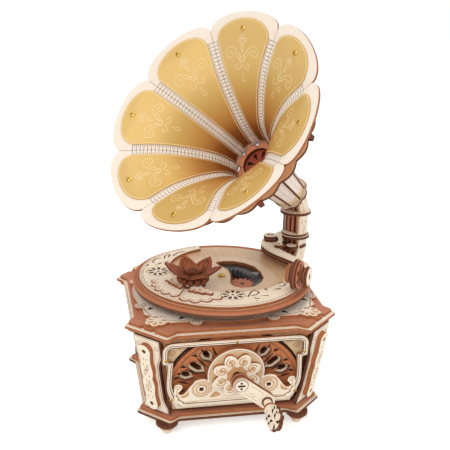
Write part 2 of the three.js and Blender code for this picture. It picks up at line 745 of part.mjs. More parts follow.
function crankRosette() {
  const low = FRAME_BACK + 2 * PLY + 2 * FIT_GAP;
  const outline = lobed(0, CRANK_SLOPE, ROSETTE_RADIUS, ROSETTE_LOBE, ROSETTE_LOBES, LOBE_STEPS);
  return slab(outline, low, low + PLY, [round(0, CRANK_SLOPE, SHAFT_RADIUS + PLY, SHAFT_FACETS)]);
}

piece('front_wall', 'cream', frontWall(), frontGroup);
piece('fan_fretwork', 'brown', fanFretwork(), frontGroup);
piece('front_frame', 'cream', frontFrame(), frontGroup);
piece('scroll_panel', 'cream', scrollPanel(), frontGroup);
piece('crank_rosette', 'cream', crankRosette(), frontGroup);

// Side walls and rear wall: one sheet each, with a row of round-ended slots
function plainWall(halfLow, halfTop) {
  const sheet = slab(trapezoid(halfLow, halfTop, PANEL_HIGH, PLY), -SIDE_INSET - PLY, -SIDE_INSET);
  const slots = Array.from({ length: SIDE_SLOT_COUNT }, (_, i) => {
    const x = (i - (SIDE_SLOT_COUNT - 1) / 2) * SIDE_SLOT_PITCH;
    const slot = pill(x, SIDE_SLOT_LOW, x, SIDE_SLOT_HIGH, SIDE_SLOT_HALF, ARC_STEPS / 2);
    return slab(slot, -SIDE_INSET - PLY - OVERRUN, OVERRUN);
  });
  return levelled(cut(sheet, ...slots), LEAN, WALL_HEIGHT);
}

piece('left_wall', 'cream', plainWall(SIDE_HALF_LOW, SIDE_HALF_TOP), leftGroup);
piece('right_wall', 'cream', plainWall(SIDE_HALF_LOW, SIDE_HALF_TOP), rightGroup);
piece('rear_wall', 'cream', plainWall(REAR_HALF_LOW, REAR_HALF_TOP), rearGroup);

// Corner pilasters: a waisted back plate with a thick round-ended strip on its face
function pilaster() {
  const top = CORNER_HIGH;
  const side = [[PILASTER_HALF, -PLY], [PILASTER_WAIST, PILASTER_FLARE_RUN],
    [PILASTER_WAIST, top - 2 * PILASTER_FLARE_RUN], [PILASTER_HALF, top - PILASTER_FLARE_RUN],
    [PILASTER_HALF, top + PLY]];
  const plate = slab([...side, ...mirrored(side)], -STRIP_THICK - PLY, -STRIP_THICK);
  const low = STRIP_MARGIN + STRIP_HALF;
  const strip = slab(pill(0, low, 0, top - low, STRIP_HALF), -STRIP_THICK, 0);
  const eyes = [low, top - low].map((y) => slab(
    round(0, y, STRIP_EYE, END_STEPS), PLY - STRIP_THICK, OVERRUN));
  return levelled(cut(join(plate, strip), ...eyes), CORNER_LEAN, WALL_HEIGHT);
}

for (const [place, x, y] of CORNERS) {
  const exact = (Math.PI / 4) * (y > 0 ? (x > 0 ? 3 : 5) : (x > 0 ? 1 : -1));
  const half = CHAMFER / 2;
  const group = panelGroup(exact, x * (BASE_HALF_X - half), y * (BASE_HALF_Y - half), CORNER_LEAN);
  piece(`pilaster_${place}`, 'cream', pilaster(), group);
}

// Gears

// Outline of a spur gear with straight-flanked teeth; a negative rise draws a ring gear's bore
function gearOutline(module, teeth, spare = BACKLASH, internal = false) {
  const pitch = (module * teeth) / 2;
  const tip = internal ? pitch - module : pitch + module;
  const root = internal ? pitch + module * DEDENDUM_SHARE : pitch - module * DEDENDUM_SHARE;
  const step = FULL / teeth;
  const thick = step / 2 - spare / pitch;
  const tipHalf = (thick / 2) * TIP_SHARE;
  const rootHalf = (thick / 2) * (2 - TIP_SHARE);
  return Array.from({ length: teeth }, (_, i) => i * step).flatMap((angle) => [
    [root, angle - rootHalf], [tip, angle - tipHalf], [tip, angle + tipHalf], [root, angle + rootHalf],
  ]).map(([r, angle]) => [r * Math.cos(angle), r * Math.sin(angle)]);
}

// A gear that turns round a line along Y, with one tooth turned towards the given angle in XZ
function gearY(x, z, teeth, tooth, from, to, bore) {
  const hole = bore > 0 ? [round(0, 0, bore, SHAFT_FACETS)] : [];
  const gear = slab(turned(gearOutline(GEAR_MODULE, teeth), tooth), -to, -from, hole);
  return moved(gear, new THREE.Matrix4().makeRotationX(Math.PI / 2).setPosition(x, 0, z));
}

const PINION_FRONT = -CROWN_R - PINION_WIDTH / 2;
const PINION_BACK = -CROWN_R + PINION_WIDTH / 2;
const SLEEVE_LOW = BRIDGE_Z + PLY + SHOULDER_HEIGHT;
const SLEEVE_HIGH = TABLE_LOW - 2 * SHOULDER_HEIGHT;
const GEAR_LOW = DECK_Z + GEAR_LIFT;
const GEAR_HIGH = GEAR_LOW + GEAR_WIDTH;
const CROWN_LOW = CRANK_Z + PINION_R + GEAR_MODULE + PEG_DEPTH * HALF_SHARE / 2;
const drumAngle = rad(DRUM_ANGLE);
const DRUM_X = (PINION_R + DRUM_GEAR_R) * Math.cos(drumAngle);
const DRUM_Z = CRANK_Z + (PINION_R + DRUM_GEAR_R) * Math.sin(drumAngle);

// Shaft from the crank arm back to the rear bearing
const ARM_FRONT = -ARM_Y - ARM_THICK;
piece('crank_shaft', 'brass', join(
  rodY(0, CRANK_Z, SHAFT_RADIUS, ARM_FRONT, BEARING_REAR_Y - FIT_GAP),
  gearY(0, CRANK_Z, PINION_TEETH, Math.PI / 2, PINION_FRONT, PINION_BACK, 0),
));

// Crown gear: a disc with a ring of pegs that stand down into the pinion's teeth, on a long
// sleeve that ends in the sun gear
function driveSleeve() {
  const bore = SPINDLE_RADIUS + RUN_GAP;
  const sleeve = slab(round(0, 0, SLEEVE_RADIUS), SLEEVE_LOW, SLEEVE_HIGH, [round(0, 0, bore, SHAFT_FACETS)]);
  const disc = slab(round(0, 0, CROWN_R + 2 * GEAR_MODULE, WIDE_STEPS / 2), CROWN_LOW, CROWN_LOW + CROWN_DISC,
    [round(0, 0, SLEEVE_RADIUS - PEG_RADIUS)]);
  const pegs = Array.from({ length: CROWN_TEETH }, (_, i) => {
    const angle = -Math.PI / 2 + ((i + HALF_SHARE) * FULL) / CROWN_TEETH;
    const [x, y] = [CROWN_R * Math.cos(angle), CROWN_R * Math.sin(angle)];
    return slab(round(x, y, PEG_RADIUS, PEG_STEPS), CRANK_Z + PINION_R - PEG_DEPTH, CROWN_LOW + OVERRUN);
  });
  const tooth = rad(PLANET_ANGLE);
  const sun = slab(turned(gearOutline(RING_MODULE, SUN_TEETH), tooth), GEAR_LOW, GEAR_HIGH,
    [round(0, 0, SLEEVE_RADIUS - PEG_RADIUS)]);
  return join(sleeve, disc, sun, ...pegs);
}

piece('drive_sleeve', 'brass', driveSleeve());

// Planet gear: a gap faces the sun's tooth, and its far side meets the ring gear
const PLANET_X = (SUN_R + PLANET_R) * Math.cos(rad(PLANET_ANGLE));
const PLANET_Y = (SUN_R + PLANET_R) * Math.sin(rad(PLANET_ANGLE));
const planetTooth = rad(PLANET_ANGLE) + Math.PI + Math.PI / PLANET_TEETH;

const planetOutline = turned(gearOutline(RING_MODULE, PLANET_TEETH), planetTooth);
const planetBore = round(0, 0, PLANET_POST + RUN_GAP, SHAFT_FACETS);
piece('planet_gear', 'brown', slab(planetOutline, GEAR_LOW, GEAR_HIGH, [planetBore]))
  .position.set(PLANET_X, PLANET_Y, 0);

// Ring gear: the planet's outer side shows it a tooth or a gap, and the ring shows the other
function ringGear() {
  const outward = rad(PLANET_ANGLE);
  const turns = (outward - planetTooth) / (FULL / PLANET_TEETH);
  const facing = (turns - Math.floor(turns)) * (FULL / PLANET_TEETH) * (PLANET_TEETH / RING_TEETH);
  const teeth = gearOutline(RING_MODULE, RING_TEETH, BACKLASH, true);
  const bore = turned(teeth, outward - facing + Math.PI / RING_TEETH);
  const body = slab(round(0, 0, RING_OUTER, WIDE_STEPS), GEAR_LOW, TABLE_LOW, [bore]);
  const cuts = Array.from({ length: RING_CUTS }, (_, i) => {
    const angle = (i * FULL) / RING_CUTS;
    const notch = turned(box(RING_CUT, RING_CUT / 2, RING_OUTER, 0), angle);
    return slab(notch, GEAR_LOW - OVERRUN, TABLE_LOW - PLY);
  });
  const studRound = round(STUD_X, STUD_Y, STUD_RADIUS, END_STEPS);
  const stud = slab(studRound, TABLE_LOW - OVERRUN, TABLE_LOW + STUD_HEIGHT);
  return join(cut(body, ...cuts), stud);
}

const tableGroup = new THREE.Group();
assembly.add(tableGroup);
piece('ring_gear', 'grey', ringGear(), tableGroup);

// Gear plate in the well of the deck, with the planet's post and the sleeve's bore
function gearPlate() {
  const plate = slab(round(0, 0, PLATE_RADIUS, WIDE_STEPS), TOP_Z, DECK_Z,
    [round(0, 0, SLEEVE_RADIUS + FIT_GAP, SHAFT_FACETS)]);
  const post = slab(round(PLANET_X, PLANET_Y, PLANET_POST, SHAFT_FACETS), DECK_Z - OVERRUN, GEAR_HIGH);
  return join(plate, post);
}

piece('gear_plate', 'dark', gearPlate());

// Movement frame: two bearing plates that stand on the base, and a bridge that holds the spindle
function bearing(back) {
  const outline = [[-BEARING_HALF, WALL_LOW], [BEARING_REACH, WALL_LOW],
    [BEARING_REACH, DRUM_Z + BEARING_HALF / 2], [BEARING_HALF, BRIDGE_Z], [-BEARING_HALF, BRIDGE_Z]];
  const sheet = slab(outline, -back, -back + PLY, [round(0, CRANK_Z, SHAFT_RADIUS + RUN_GAP, SHAFT_FACETS),
    round(DRUM_X, DRUM_Z, DRUM_AXLE + RUN_GAP, SHAFT_FACETS)]);
  return moved(sheet, new THREE.Matrix4().makeRotationX(Math.PI / 2));
}

const bridgeY = (BEARING_MID_Y - PLY + BEARING_REAR_Y) / 2;
piece('movement_frame', 'brown', join(bearing(BEARING_MID_Y), bearing(BEARING_REAR_Y),
  slab(box(BEARING_HALF, (BEARING_REAR_Y - BEARING_MID_Y + PLY) / 2, 0, bridgeY), BRIDGE_Z, BRIDGE_Z + PLY)));

// Spindle: a fixed pin from the bridge to above the record, with a shoulder and a pan head
function spindle() {
  const foot = BRIDGE_Z + PLY;
  const shoulder = TABLE_LOW - SHOULDER_HEIGHT - FIT_GAP;
  const head = RECORD_HIGH + FIT_GAP;
  const pin = lathe([
    [0, foot], [SPINDLE_RADIUS, foot], [SPINDLE_RADIUS, shoulder], [SHOULDER_RADIUS, shoulder],
    [SHOULDER_RADIUS, shoulder + SHOULDER_HEIGHT], [SPINDLE_RADIUS, shoulder + SHOULDER_HEIGHT],
    [SPINDLE_RADIUS, head], [HEAD_RADIUS, head], [HEAD_RADIUS, head + HEAD_HEIGHT / 2],
    [HEAD_RADIUS - HEAD_HEIGHT / 2, head + HEAD_HEIGHT], [0, head + HEAD_HEIGHT],
  ], SHAFT_FACETS);
  const top = head + HEAD_HEIGHT;
  const slot = slab(box(HEAD_RADIUS, SHOULDER_HEIGHT), top - SHOULDER_HEIGHT, top + OVERRUN);
  return cut(pin, slot);
}

piece('spindle', 'brass', spindle());

// Music drum on its own axle, with pins in a spiral, turned by the crank pinion
function musicDrum() {
  const [from, to] = [BEARING_MID_Y + DRUM_GAP, BEARING_REAR_Y - PLY - DRUM_GAP];
  const drum = rodY(DRUM_X, DRUM_Z, DRUM_RADIUS, from, to, DISC_STEPS);
  const axle = rodY(DRUM_X, DRUM_Z, DRUM_AXLE, PINION_FRONT, BEARING_REAR_Y - FIT_GAP);
  const facing = Math.PI + drumAngle;
  const pinionTurn = (drumAngle - Math.PI / 2) / (FULL / PINION_TEETH);
  const share = (pinionTurn - Math.floor(pinionTurn)) * (FULL / DRUM_TEETH);
  const tooth = facing + Math.PI / DRUM_TEETH + share;
  const gear = gearY(DRUM_X, DRUM_Z, DRUM_TEETH, tooth, PINION_FRONT, PINION_BACK, 0);
  const pins = Array.from({ length: DRUM_ROWS * DRUM_PINS }, (_, i) => {
    const y = from + DRUM_GAP + ((to - from - 2 * DRUM_GAP) * i) / (DRUM_ROWS * DRUM_PINS - 1);
    const geometry = new THREE.BoxGeometry(2 * DRUM_PIN, 2 * DRUM_PIN, DRUM_RADIUS + DRUM_PIN_RISE);
    geometry.translate(0, 0, (DRUM_RADIUS + DRUM_PIN_RISE) / 2);
    geometry.rotateY((i * FULL) / DRUM_PINS + (i * FULL) / (DRUM_ROWS * DRUM_PINS * DRUM_PINS));
    geometry.translate(DRUM_X, y, DRUM_Z);
    return toSolid(geometry);
  });
  return join(drum, axle, gear, ...pins);
}

piece('music_drum', 'brass', musicDrum());

// Comb: a steel plate slit into teeth, screwed down on a block beside the drum
const COMB_X = DRUM_X - DRUM_RADIUS - DRUM_PIN_RISE - COMB_GAP;

function comb() {
  const [from, to] = [BEARING_MID_Y + DRUM_GAP, BEARING_REAR_Y - PLY - DRUM_GAP];
  const geometry = new THREE.BoxGeometry(COMB_REACH, to - from, COMB_THICK);
  geometry.translate(COMB_X - COMB_REACH / 2, (from + to) / 2, DRUM_Z + COMB_THICK / 2);
  const slits = Array.from({ length: COMB_TEETH - 1 }, (_, i) => {
    const y = from + ((to - from) * (i + 1)) / COMB_TEETH;
    const slit = box(COMB_REACH / 3, COMB_SLIT / 2, COMB_X - COMB_REACH / 4, y);
    return slab(slit, DRUM_Z - OVERRUN, DRUM_Z + COMB_THICK + OVERRUN);
  });
  return cut(toSolid(geometry), ...slits);
}

piece('comb', 'steel', comb());
piece('comb_block', 'brass', slab(box(BED_WALL / 2, (BEARING_REAR_Y - BEARING_MID_Y - PLY) / 2 - DRUM_GAP,
  COMB_X - COMB_REACH + BED_WALL / 2, (BEARING_REAR_Y + BEARING_MID_Y - PLY) / 2), WALL_LOW, DRUM_Z));

// Crank arm: two plies with round ends, bored for the shaft and for the handle's pin
const crankPlane = new THREE.Matrix4().makeRotationX(Math.PI / 2);
const toCrank = (solid) => moved(solid, crankPlane);
const HANDLE_X = ARM_RUN;
const HANDLE_Z = CRANK_Z - ARM_DROP;

function crankArm() {
  const shaftBore = round(0, CRANK_Z, SHAFT_RADIUS + RUN_GAP, SHAFT_FACETS);
  const pinBore = round(HANDLE_X, HANDLE_Z, PIN_RADIUS + RUN_GAP, SHAFT_FACETS);
  const outline = pill(0, CRANK_Z, HANDLE_X, HANDLE_Z, ARM_HALF, 2 * ARC_STEPS);
  return toCrank(slab(outline, ARM_Y, ARM_Y + ARM_THICK, [shaftBore, pinBore]));
}

piece('crank_arm', 'cream', crankArm());
const capFace = ARM_Y + ARM_THICK;
piece('crank_cap', 'cream', toCrank(slab(round(0, CRANK_Z, CAP_RADIUS), capFace, capFace + CAP_RISE)));

// Handle: a pin fixed in the arm, and a collar and a waisted grip that turn on it
piece('handle_pin', 'steel', rodY(HANDLE_X, HANDLE_Z, PIN_RADIUS, -GRIP_START - PIN_SHANK, -ARM_Y));

function handleGrip() {
  const collar = slab(round(0, 0, COLLAR_RADIUS), COLLAR_Y, COLLAR_Y + COLLAR_WIDTH);
  const sleeve = slab(round(0, 0, PIN_RADIUS + OVERRUN, SHAFT_FACETS), capFace + FIT_GAP, COLLAR_Y + OVERRUN);
  const long = GRIP_END - GRIP_START;
  const waist = (share) => GRIP_HALF - GRIP_SWELL * Math.abs(Math.cos(3 * Math.PI * share));
  const side = Array.from({ length: ARC_STEPS * 2 + 1 }, (_, i) => i / (ARC_STEPS * 2))
    .map((share) => [waist(share), -GRIP_END + long * share]);
  const slots = [1, 3, 5].flatMap((k) => [-1, 1].map((end) => {
    const y = -GRIP_END + (long * k) / 6;
    return pill(end * GRIP_SLOT_IN, y, end * GRIP_SLOT_OUT, y + GRIP_SLOT, GRIP_SLOT / 2, ARC_STEPS / 2);
  }));
  const blade = slab([...side, ...mirrored(side)], -GRIP_THICK / 2, GRIP_THICK / 2, slots);
  const tilted = moved(blade, new THREE.Matrix4().makeRotationY(-rad(GRIP_TILT)));
  const bore = rodY(0, 0, PIN_RADIUS + RUN_GAP, -GRIP_START - PIN_SHANK - FIT_GAP, -ARM_Y);
  return cut(join(toCrank(collar), toCrank(sleeve), tilted), bore);
}

piece('handle_grip', 'cream', handleGrip()).position.set(HANDLE_X, 0, HANDLE_Z);

// Turntable: a ribbed disc with a raised lip, the cream record in the lip, and cut ornaments
// stacked on the record

function windowOutline() {
  return WINDOW_SHARES.map(([x, y]) => [WINDOW_X + x * WINDOW_REACH, WINDOW_Y + y * WINDOW_REACH]);
}

function turntableDisc() {
  const rim = Array.from({ length: TABLE_RIBS * 2 }, (_, i) => {
    const angle = (FULL * i) / (TABLE_RIBS * 2);
    const r = TABLE_RADIUS - (i % 2) * TABLE_RIB;
    return [r * Math.cos(angle), r * Math.sin(angle)];
  });
  const bore = round(0, 0, SPINDLE_RADIUS + RUN_GAP, SHAFT_FACETS);
  const lip = slab(round(0, 0, TABLE_RADIUS + RIM_LIP, WIDE_STEPS), RECORD_LOW - OVERRUN, RECORD_HIGH,
    [round(0, 0, RECORD_RADIUS + FIT_GAP, WIDE_STEPS)]);
  return join(slab(rim, TABLE_LOW, RECORD_LOW, [bore, windowOutline()]), lip);
}

function record() {
  return slab(round(0, 0, RECORD_RADIUS, WIDE_STEPS), RECORD_LOW, RECORD_HIGH,
    [round(0, 0, SPINDLE_RADIUS + RUN_GAP, SHAFT_FACETS), windowOutline()]);
}

// A ring plate whose hole lies off its middle, open where the ring grows narrow
function crescentPlate() {
  const [low, high] = [RECORD_HIGH - OVERRUN, RECORD_HIGH + PLY + OVERRUN];
  const plate = slab(round(0, 0, CRESCENT_RADIUS, WIDE_STEPS), RECORD_HIGH, RECORD_HIGH + PLY);
  const bite = slab(round(CRESCENT_SHIFT_X, CRESCENT_SHIFT_Y, CRESCENT_BITE, WIDE_STEPS), low, high);
  const far = arc(0, 0, 2 * CRESCENT_RADIUS, rad(CRESCENT_OPEN_FROM), rad(CRESCENT_OPEN_TO), 2);
  return cut(plate, bite, slab([[CRESCENT_SHIFT_X, CRESCENT_SHIFT_Y], ...far], low, high));
}

// Leaves that spread from under the flower: long thin ones, and short ones on top of them
function leafOrnament() {
  const low = RECORD_HIGH + PLY;
  const leaf = (size, turn) => {
    const [long, half] = [size * LEAF_REACH, Math.sqrt(size) * LEAF_HALF];
    const side = Array.from({ length: LEAF_STEPS + 1 }, (_, i) => i / LEAF_STEPS)
      .map((share) => [long * share, -half * Math.sin(Math.PI * share)]);
    const back = side.slice(1, -1).reverse().map(([x, y]) => [x, -y]);
    return turned([...side, ...back], rad(turn), FLOWER_X, FLOWER_Y);
  };
  const layer = (grow, high) => LEAF_TURNS.map((turn, i) => slab(
    leaf(LEAF_REACH_SHARES[i] * grow, turn), low, high));
  const hub = slab(round(FLOWER_X, FLOWER_Y, LEAF_HUB), low, low + PLY);
  return join(hub, ...layer(1, low + LEAF_THIN), ...layer(LEAF_UPPER_SHARE, low + PLY));
}

// Flower: pointed petals that lean up and out round a bud, each held by an upright fin
function flower() {
  const low = RECORD_HIGH + 2 * PLY;
  const bud = lathe([[0, 0], [FLOWER_BUD, 0], [FLOWER_BUD, PLY], [FLOWER_BUD / 2, FLOWER_BUD_HEIGHT - PLY],
    [0, FLOWER_BUD_HEIGHT]], 2 * ARC_STEPS);
  const tilt = Math.atan2(FLOWER_RISE, FLOWER_REACH);
  const [wide, narrow] = [FLOWER_REACH / 2, (FLOWER_REACH * 5) / 6];
  const leaf = [[0, -PLY / 2], [wide, -FLOWER_HALF], [narrow, -FLOWER_HALF / 2], [FLOWER_REACH, 0],
    [narrow, FLOWER_HALF / 2], [wide, FLOWER_HALF], [0, PLY / 2]];
  const finHigh = FLOWER_SHEET + FLOWER_FIN * Math.tan(tilt);
  const fin = [[0, 0], [FLOWER_FIN, 0], [FLOWER_FIN, finHigh], [0, FLOWER_SHEET]];
  const petals = Array.from({ length: FLOWER_PETALS }, (_, i) => {
    const place = new THREE.Matrix4().makeRotationZ(rad(FLOWER_TURN) + (i * FULL) / FLOWER_PETALS);
    const lean = place.clone().multiply(new THREE.Matrix4().makeRotationY(-tilt));
    const stand = place.clone().multiply(new THREE.Matrix4().makeRotationX(Math.PI / 2));
    return join(moved(slab(leaf, FLOWER_BUD / 6, FLOWER_BUD / 6 + FLOWER_SHEET), lean),
      moved(slab(fin, -FLOWER_SHEET / 2, FLOWER_SHEET / 2), stand));
  });
  return moved(join(bud, ...petals), new THREE.Matrix4().makeTranslation(FLOWER_X, FLOWER_Y, low));
}

piece('turntable_disc', 'brown', turntableDisc(), tableGroup);
piece('record', 'cream', record(), tableGroup);
piece('crescent_plate', 'cream', crescentPlate(), tableGroup);
piece('leaf_ornament', 'cream', leafOrnament(), tableGroup);
piece('flower', 'red', flower(), tableGroup);

// Column: its middle line is drawn in a plane that holds the horn's axis, s outwards and z up
const columnTurn = rad(COLUMN_TURN);
const columnPlane = new THREE.Matrix4()
  .makeBasis(
    new THREE.Vector3(Math.cos(columnTurn), Math.sin(columnTurn), 0),
    new THREE.Vector3(0, 0, 1),
    new THREE.Vector3(Math.sin(columnTurn), -Math.cos(columnTurn), 0),
  )
  .setPosition(COLUMN_X, COLUMN_Y, 0);

function columnPath() {
  const elbow = Math.PI / 2 - rad(HORN_DIP);
  const top = TOP_Z + ELBOW_LIFT - ELBOW_RADIUS * Math.tan(elbow / 2);
  const foot = Array.from({ length: ARC_STEPS / 2 + 1 }, (_, i) => {
    const left = 1 - i / (ARC_STEPS / 2);
    return { s: -FOOT_BACK * left * left, z: TOP_Z + FOOT_RISE * (1 - left), lean: rad(FOOT_LEAN) * left };
  });
  const bend = Array.from({ length: ARC_STEPS + 1 }, (_, i) => {
    const turn = (elbow * i) / ARC_STEPS;
    return { s: -ELBOW_RADIUS * (1 - Math.cos(turn)), z: top + ELBOW_RADIUS * Math.sin(turn), lean: -turn };
  });
  return [...foot, ...bend];
}

function columnSlab(halfDeep, from, to) {
  const path = columnPath();
  const edge = (half) => path.map(({ s, z, lean }) => [s + half * Math.cos(lean), z - half * Math.sin(lean)]);
  const outline = [...edge(halfDeep), ...edge(-halfDeep).reverse()];
  return moved(slab(outline, from, to), columnPlane);
}

function columnBody(grow) {
  const core = columnSlab(CORE_DEEP / 2 + grow, -CORE_WIDE / 2 - grow, CORE_WIDE / 2 + grow);
  const side = [1, -1].map((end) => {
    const inner = end * (CORE_WIDE / 2 - OVERRUN);
    const outer = end * (CORE_WIDE / 2 + PLY + grow);
    return columnSlab(CORE_DEEP / 2 + PANEL_LAP + grow, Math.min(inner, outer), Math.max(inner, outer));
  });
  const floor = new THREE.BoxGeometry(4 * COLUMN_X, 4 * COLUMN_X, COLUMN_X);
  floor.translate(0, 0, TOP_Z - COLUMN_X / 2);
  return cut(join(core, ...side), toSolid(floor));
}

function columnPad() {
  const outline = box(CORE_DEEP + FOOT_BACK / 2, CORE_WIDE / 2 + PLY + FIT_GAP, -FOOT_BACK / 2, 0);
  return slab(turned(outline, columnTurn, COLUMN_X, COLUMN_Y), TOP_Z - OVERRUN, DECK_Z + OVERRUN);
}

piece('column', 'brown', columnBody(0));
piece('deck_ring', 'cream', cut(deckRing(), columnPad()));

function notchedRound(radius) {
  return Array.from({ length: COLLAR_TEETH }, (_, i) => (i * FULL) / COLLAR_TEETH).flatMap((angle) => {
    const step = FULL / COLLAR_TEETH;
    return [[radius, 0], [radius, 1 / 3], [radius - COLLAR_CUT, 1 / 2], [radius - COLLAR_CUT, 2 / 3]]
      .map(([r, share]) => [r * Math.cos(angle + share * step), r * Math.sin(angle + share * step)]);
  });
}

function collar(radius, lift, ...extra) {
  const low = DECK_Z + lift;
  const middle = new THREE.Matrix4().makeTranslation(COLUMN_X, COLUMN_Y, 0);
  const disc = moved(slab(notchedRound(radius), low, low + PLY), middle);
  return cut(join(disc, ...extra), columnBody(FIT_GAP));
}

// The low collar sends a curved finger round the tonearm's pivot to a round hook
function hookFinger() {
  const low = DECK_Z + COLLAR_LOW_LIFT;
  const points = HOOK_SHARES.map(([x, y]) => [COLUMN_X + x * HOOK_REACH, COLUMN_Y + y * HOOK_REACH]);
  const bars = points.slice(1).map((point, i) => slab(
    pill(...points[i], ...point, HOOK_RADIUS / 2, ARC_STEPS / 2), low, low + PLY));
  const end = slab(round(...points.at(-1), HOOK_RADIUS, END_STEPS), low, low + PLY);
  return [...bars, end];
}

piece('collar_low', 'brown', collar(COLLAR_LOW_RADIUS, COLLAR_LOW_LIFT, ...hookFinger()));
piece('collar_high', 'brown', collar(COLLAR_HIGH_RADIUS, COLLAR_HIGH_LIFT));

const TONE_LOW = DECK_Z + TONE_LIFT;
const TONE_HIGH = TONE_LOW + 2 * TONE_PLY;

// Bracket from the column to the tonearm's pivot, with the pivot post standing on it
function armBracket() {
  const low = DECK_Z + BRACKET_LIFT;
  const plate = slab(pill(PIVOT_X, PIVOT_Y, COLUMN_X, COLUMN_Y, BRACKET_HALF), low, low + PLY);
  const pad = slab(round(COLUMN_X, COLUMN_Y, COLLAR_LOW_RADIUS), low, low + PLY);
  const post = slab(round(PIVOT_X, PIVOT_Y, POST_RADIUS, SHAFT_FACETS), low, TONE_HIGH - FIT_GAP);
  return cut(join(plate, pad, post), columnBody(FIT_GAP));
}

piece('arm_bracket', 'brown', armBracket());

// Tonearm: a sheet ribbon that curves from the pivot round to the soundbox
function toneArm() {
  const reach = PIVOT_Y - BOX_Y;
  const edge = (side) => {
    const points = TONE_PATH_SHARES.map(([along, across, half], i, all) => {
      const next = all[Math.min(i + 1, all.length - 1)];
      const last = all[Math.max(i - 1, 0)];
      const heading = Math.atan2(next[1] - last[1], next[0] - last[0]);
      const x = PIVOT_X + reach * (across + side * half * Math.cos(heading));
      const y = PIVOT_Y - reach * (along - side * half * Math.sin(heading));
      return new THREE.Vector3(x, y, 0);
    });
    return new THREE.CatmullRomCurve3(points).getPoints(2 * points.length).map(({ x, y }) => [x, y]);
  };
  const outline = [...edge(-1), ...edge(1).reverse()];
  const ribbon = slab(outline, TONE_LOW, TONE_HIGH);
  const boss = slab(round(PIVOT_X, PIVOT_Y, KNOB_RADIUS + 1.5 * OVERRUN), TONE_LOW, TONE_HIGH);
  const through = (points) => slab(points, TONE_LOW - OVERRUN, TONE_HIGH + OVERRUN);
  const bore = through(round(PIVOT_X, PIVOT_Y, POST_RADIUS + RUN_GAP, SHAFT_FACETS));
  const [along, across] = TONE_PATH_SHARES[1];
  const eyeX = PIVOT_X + reach * across + TONE_EYE;
  const eye = through(round(eyeX, PIVOT_Y - reach * along, TONE_EYE, END_STEPS));
  return cut(join(ribbon, boss), bore, eye, boxRoom());
}

// Soundbox: discs stacked along a level axis, one with a pointed tail that holds the needle
const boxTurn = rad(BOX_TURN);
const boxPlane = new THREE.Matrix4()
  .makeBasis(
    new THREE.Vector3(-Math.sin(boxTurn), Math.cos(boxTurn), 0),
    new THREE.Vector3(0, 0, 1),
    new THREE.Vector3(Math.cos(boxTurn), Math.sin(boxTurn), 0),
  )
  .setPosition(BOX_X, BOX_Y, DECK_Z + BOX_RISE);

function boxRoom() {
  const span = BOX_CAP + 2 * BOX_FACE + BOX_SPACER + FIT_GAP;
  return moved(slab(round(0, 0, BOX_RADIUS + FIT_GAP), -BOX_RING - BOX_DISC - FIT_GAP, span), boxPlane);
}

function soundbox() {
  const ring = slab(round(0, 0, BOX_RING_RADIUS), -BOX_DISC - BOX_RING, -BOX_DISC + OVERRUN,
    [round(0, 0, BOX_HOLE, END_STEPS)]);
  const disc = slab(round(0, 0, BOX_RADIUS), -BOX_DISC, 0);
  const tail = [[-NEEDLE_HALF, -BOX_FACE_RADIUS + NEEDLE_HALF], [-NEEDLE_HALF / 3, -BOX_RADIUS],
    [NEEDLE_HALF / 3, -BOX_RADIUS], [NEEDLE_HALF, -BOX_FACE_RADIUS + NEEDLE_HALF]];
  const face = join(slab(round(0, 0, BOX_FACE_RADIUS), -OVERRUN, BOX_FACE), slab(tail, -OVERRUN, BOX_FACE));
  const gaps = Array.from({ length: BOX_GAPS }, (_, i) => {
    const [near, far, half] = [BOX_HOLE + BOX_RIB, BOX_FACE_RADIUS - BOX_RIB, (BOX_HOLE * 2) / 3];
    const outline = [[near, 0], [far, -half], [far, half]];
    return slab(turned(outline, ((i + HALF_SHARE) * FULL) / BOX_GAPS), 0, BOX_FACE + OVERRUN);
  });
  const spacer = slab(round(0, 0, BOX_HOLE + OVERRUN), -OVERRUN, BOX_FACE + BOX_SPACER + OVERRUN);
  const capLow = BOX_FACE + BOX_SPACER;
  const cap = slab(round(0, 0, BOX_CAP_RADIUS), capLow, capLow + BOX_CAP);
  const eye = slab(round(0, 0, BOX_CAP_HOLE, END_STEPS), capLow + BOX_CAP / 3, capLow + BOX_CAP + OVERRUN);
  return moved(cut(join(cut(face, ...gaps), ring, disc, spacer, cap), eye), boxPlane);
}

piece('tonearm', 'cream', toneArm());
piece('soundbox', 'brown', soundbox());
const knobOutline = lobed(PIVOT_X, PIVOT_Y, KNOB_RADIUS - OVERRUN, OVERRUN, FLOWER_PETALS, LOBE_STEPS);
piece('arm_knob', 'red', slab(knobOutline, TONE_HIGH, TONE_HIGH + KNOB_HEIGHT));

// Horn: drawn round its own axis with z running back from the mouth's plane, then tilted up
// so that the axis meets the column's middle line
const dip = rad(HORN_DIP);
const hornBack = new THREE.Vector3(Math.cos(columnTurn), Math.sin(columnTurn), -Math.tan(dip))
  .multiplyScalar(Math.cos(dip));
const hornSide = new THREE.Vector3(Math.sin(columnTurn), -Math.cos(columnTurn), 0);
const hornGroup = new THREE.Group();
hornGroup.position.set(COLUMN_X, COLUMN_Y, TOP_Z + ELBOW_LIFT).addScaledVector(hornBack, -HORN_AXIS_LENGTH);
hornGroup.quaternion.setFromRotationMatrix(new THREE.Matrix4()
  .makeBasis(hornSide, new THREE.Vector3().crossVectors(hornBack, hornSide), hornBack));
assembly.add(hornGroup);

const seamPoints = SEAM_SHARES.map(([l, r]) => new THREE.Vector3(l * HORN_DEPTH, r * HORN_MOUTH, 0));
const seam = new THREE.CatmullRomCurve3(seamPoints);
const seamRows = seam.getPoints(SEAM_ROWS);
const petalHalfAngle = Math.PI / HORN_SIDES;

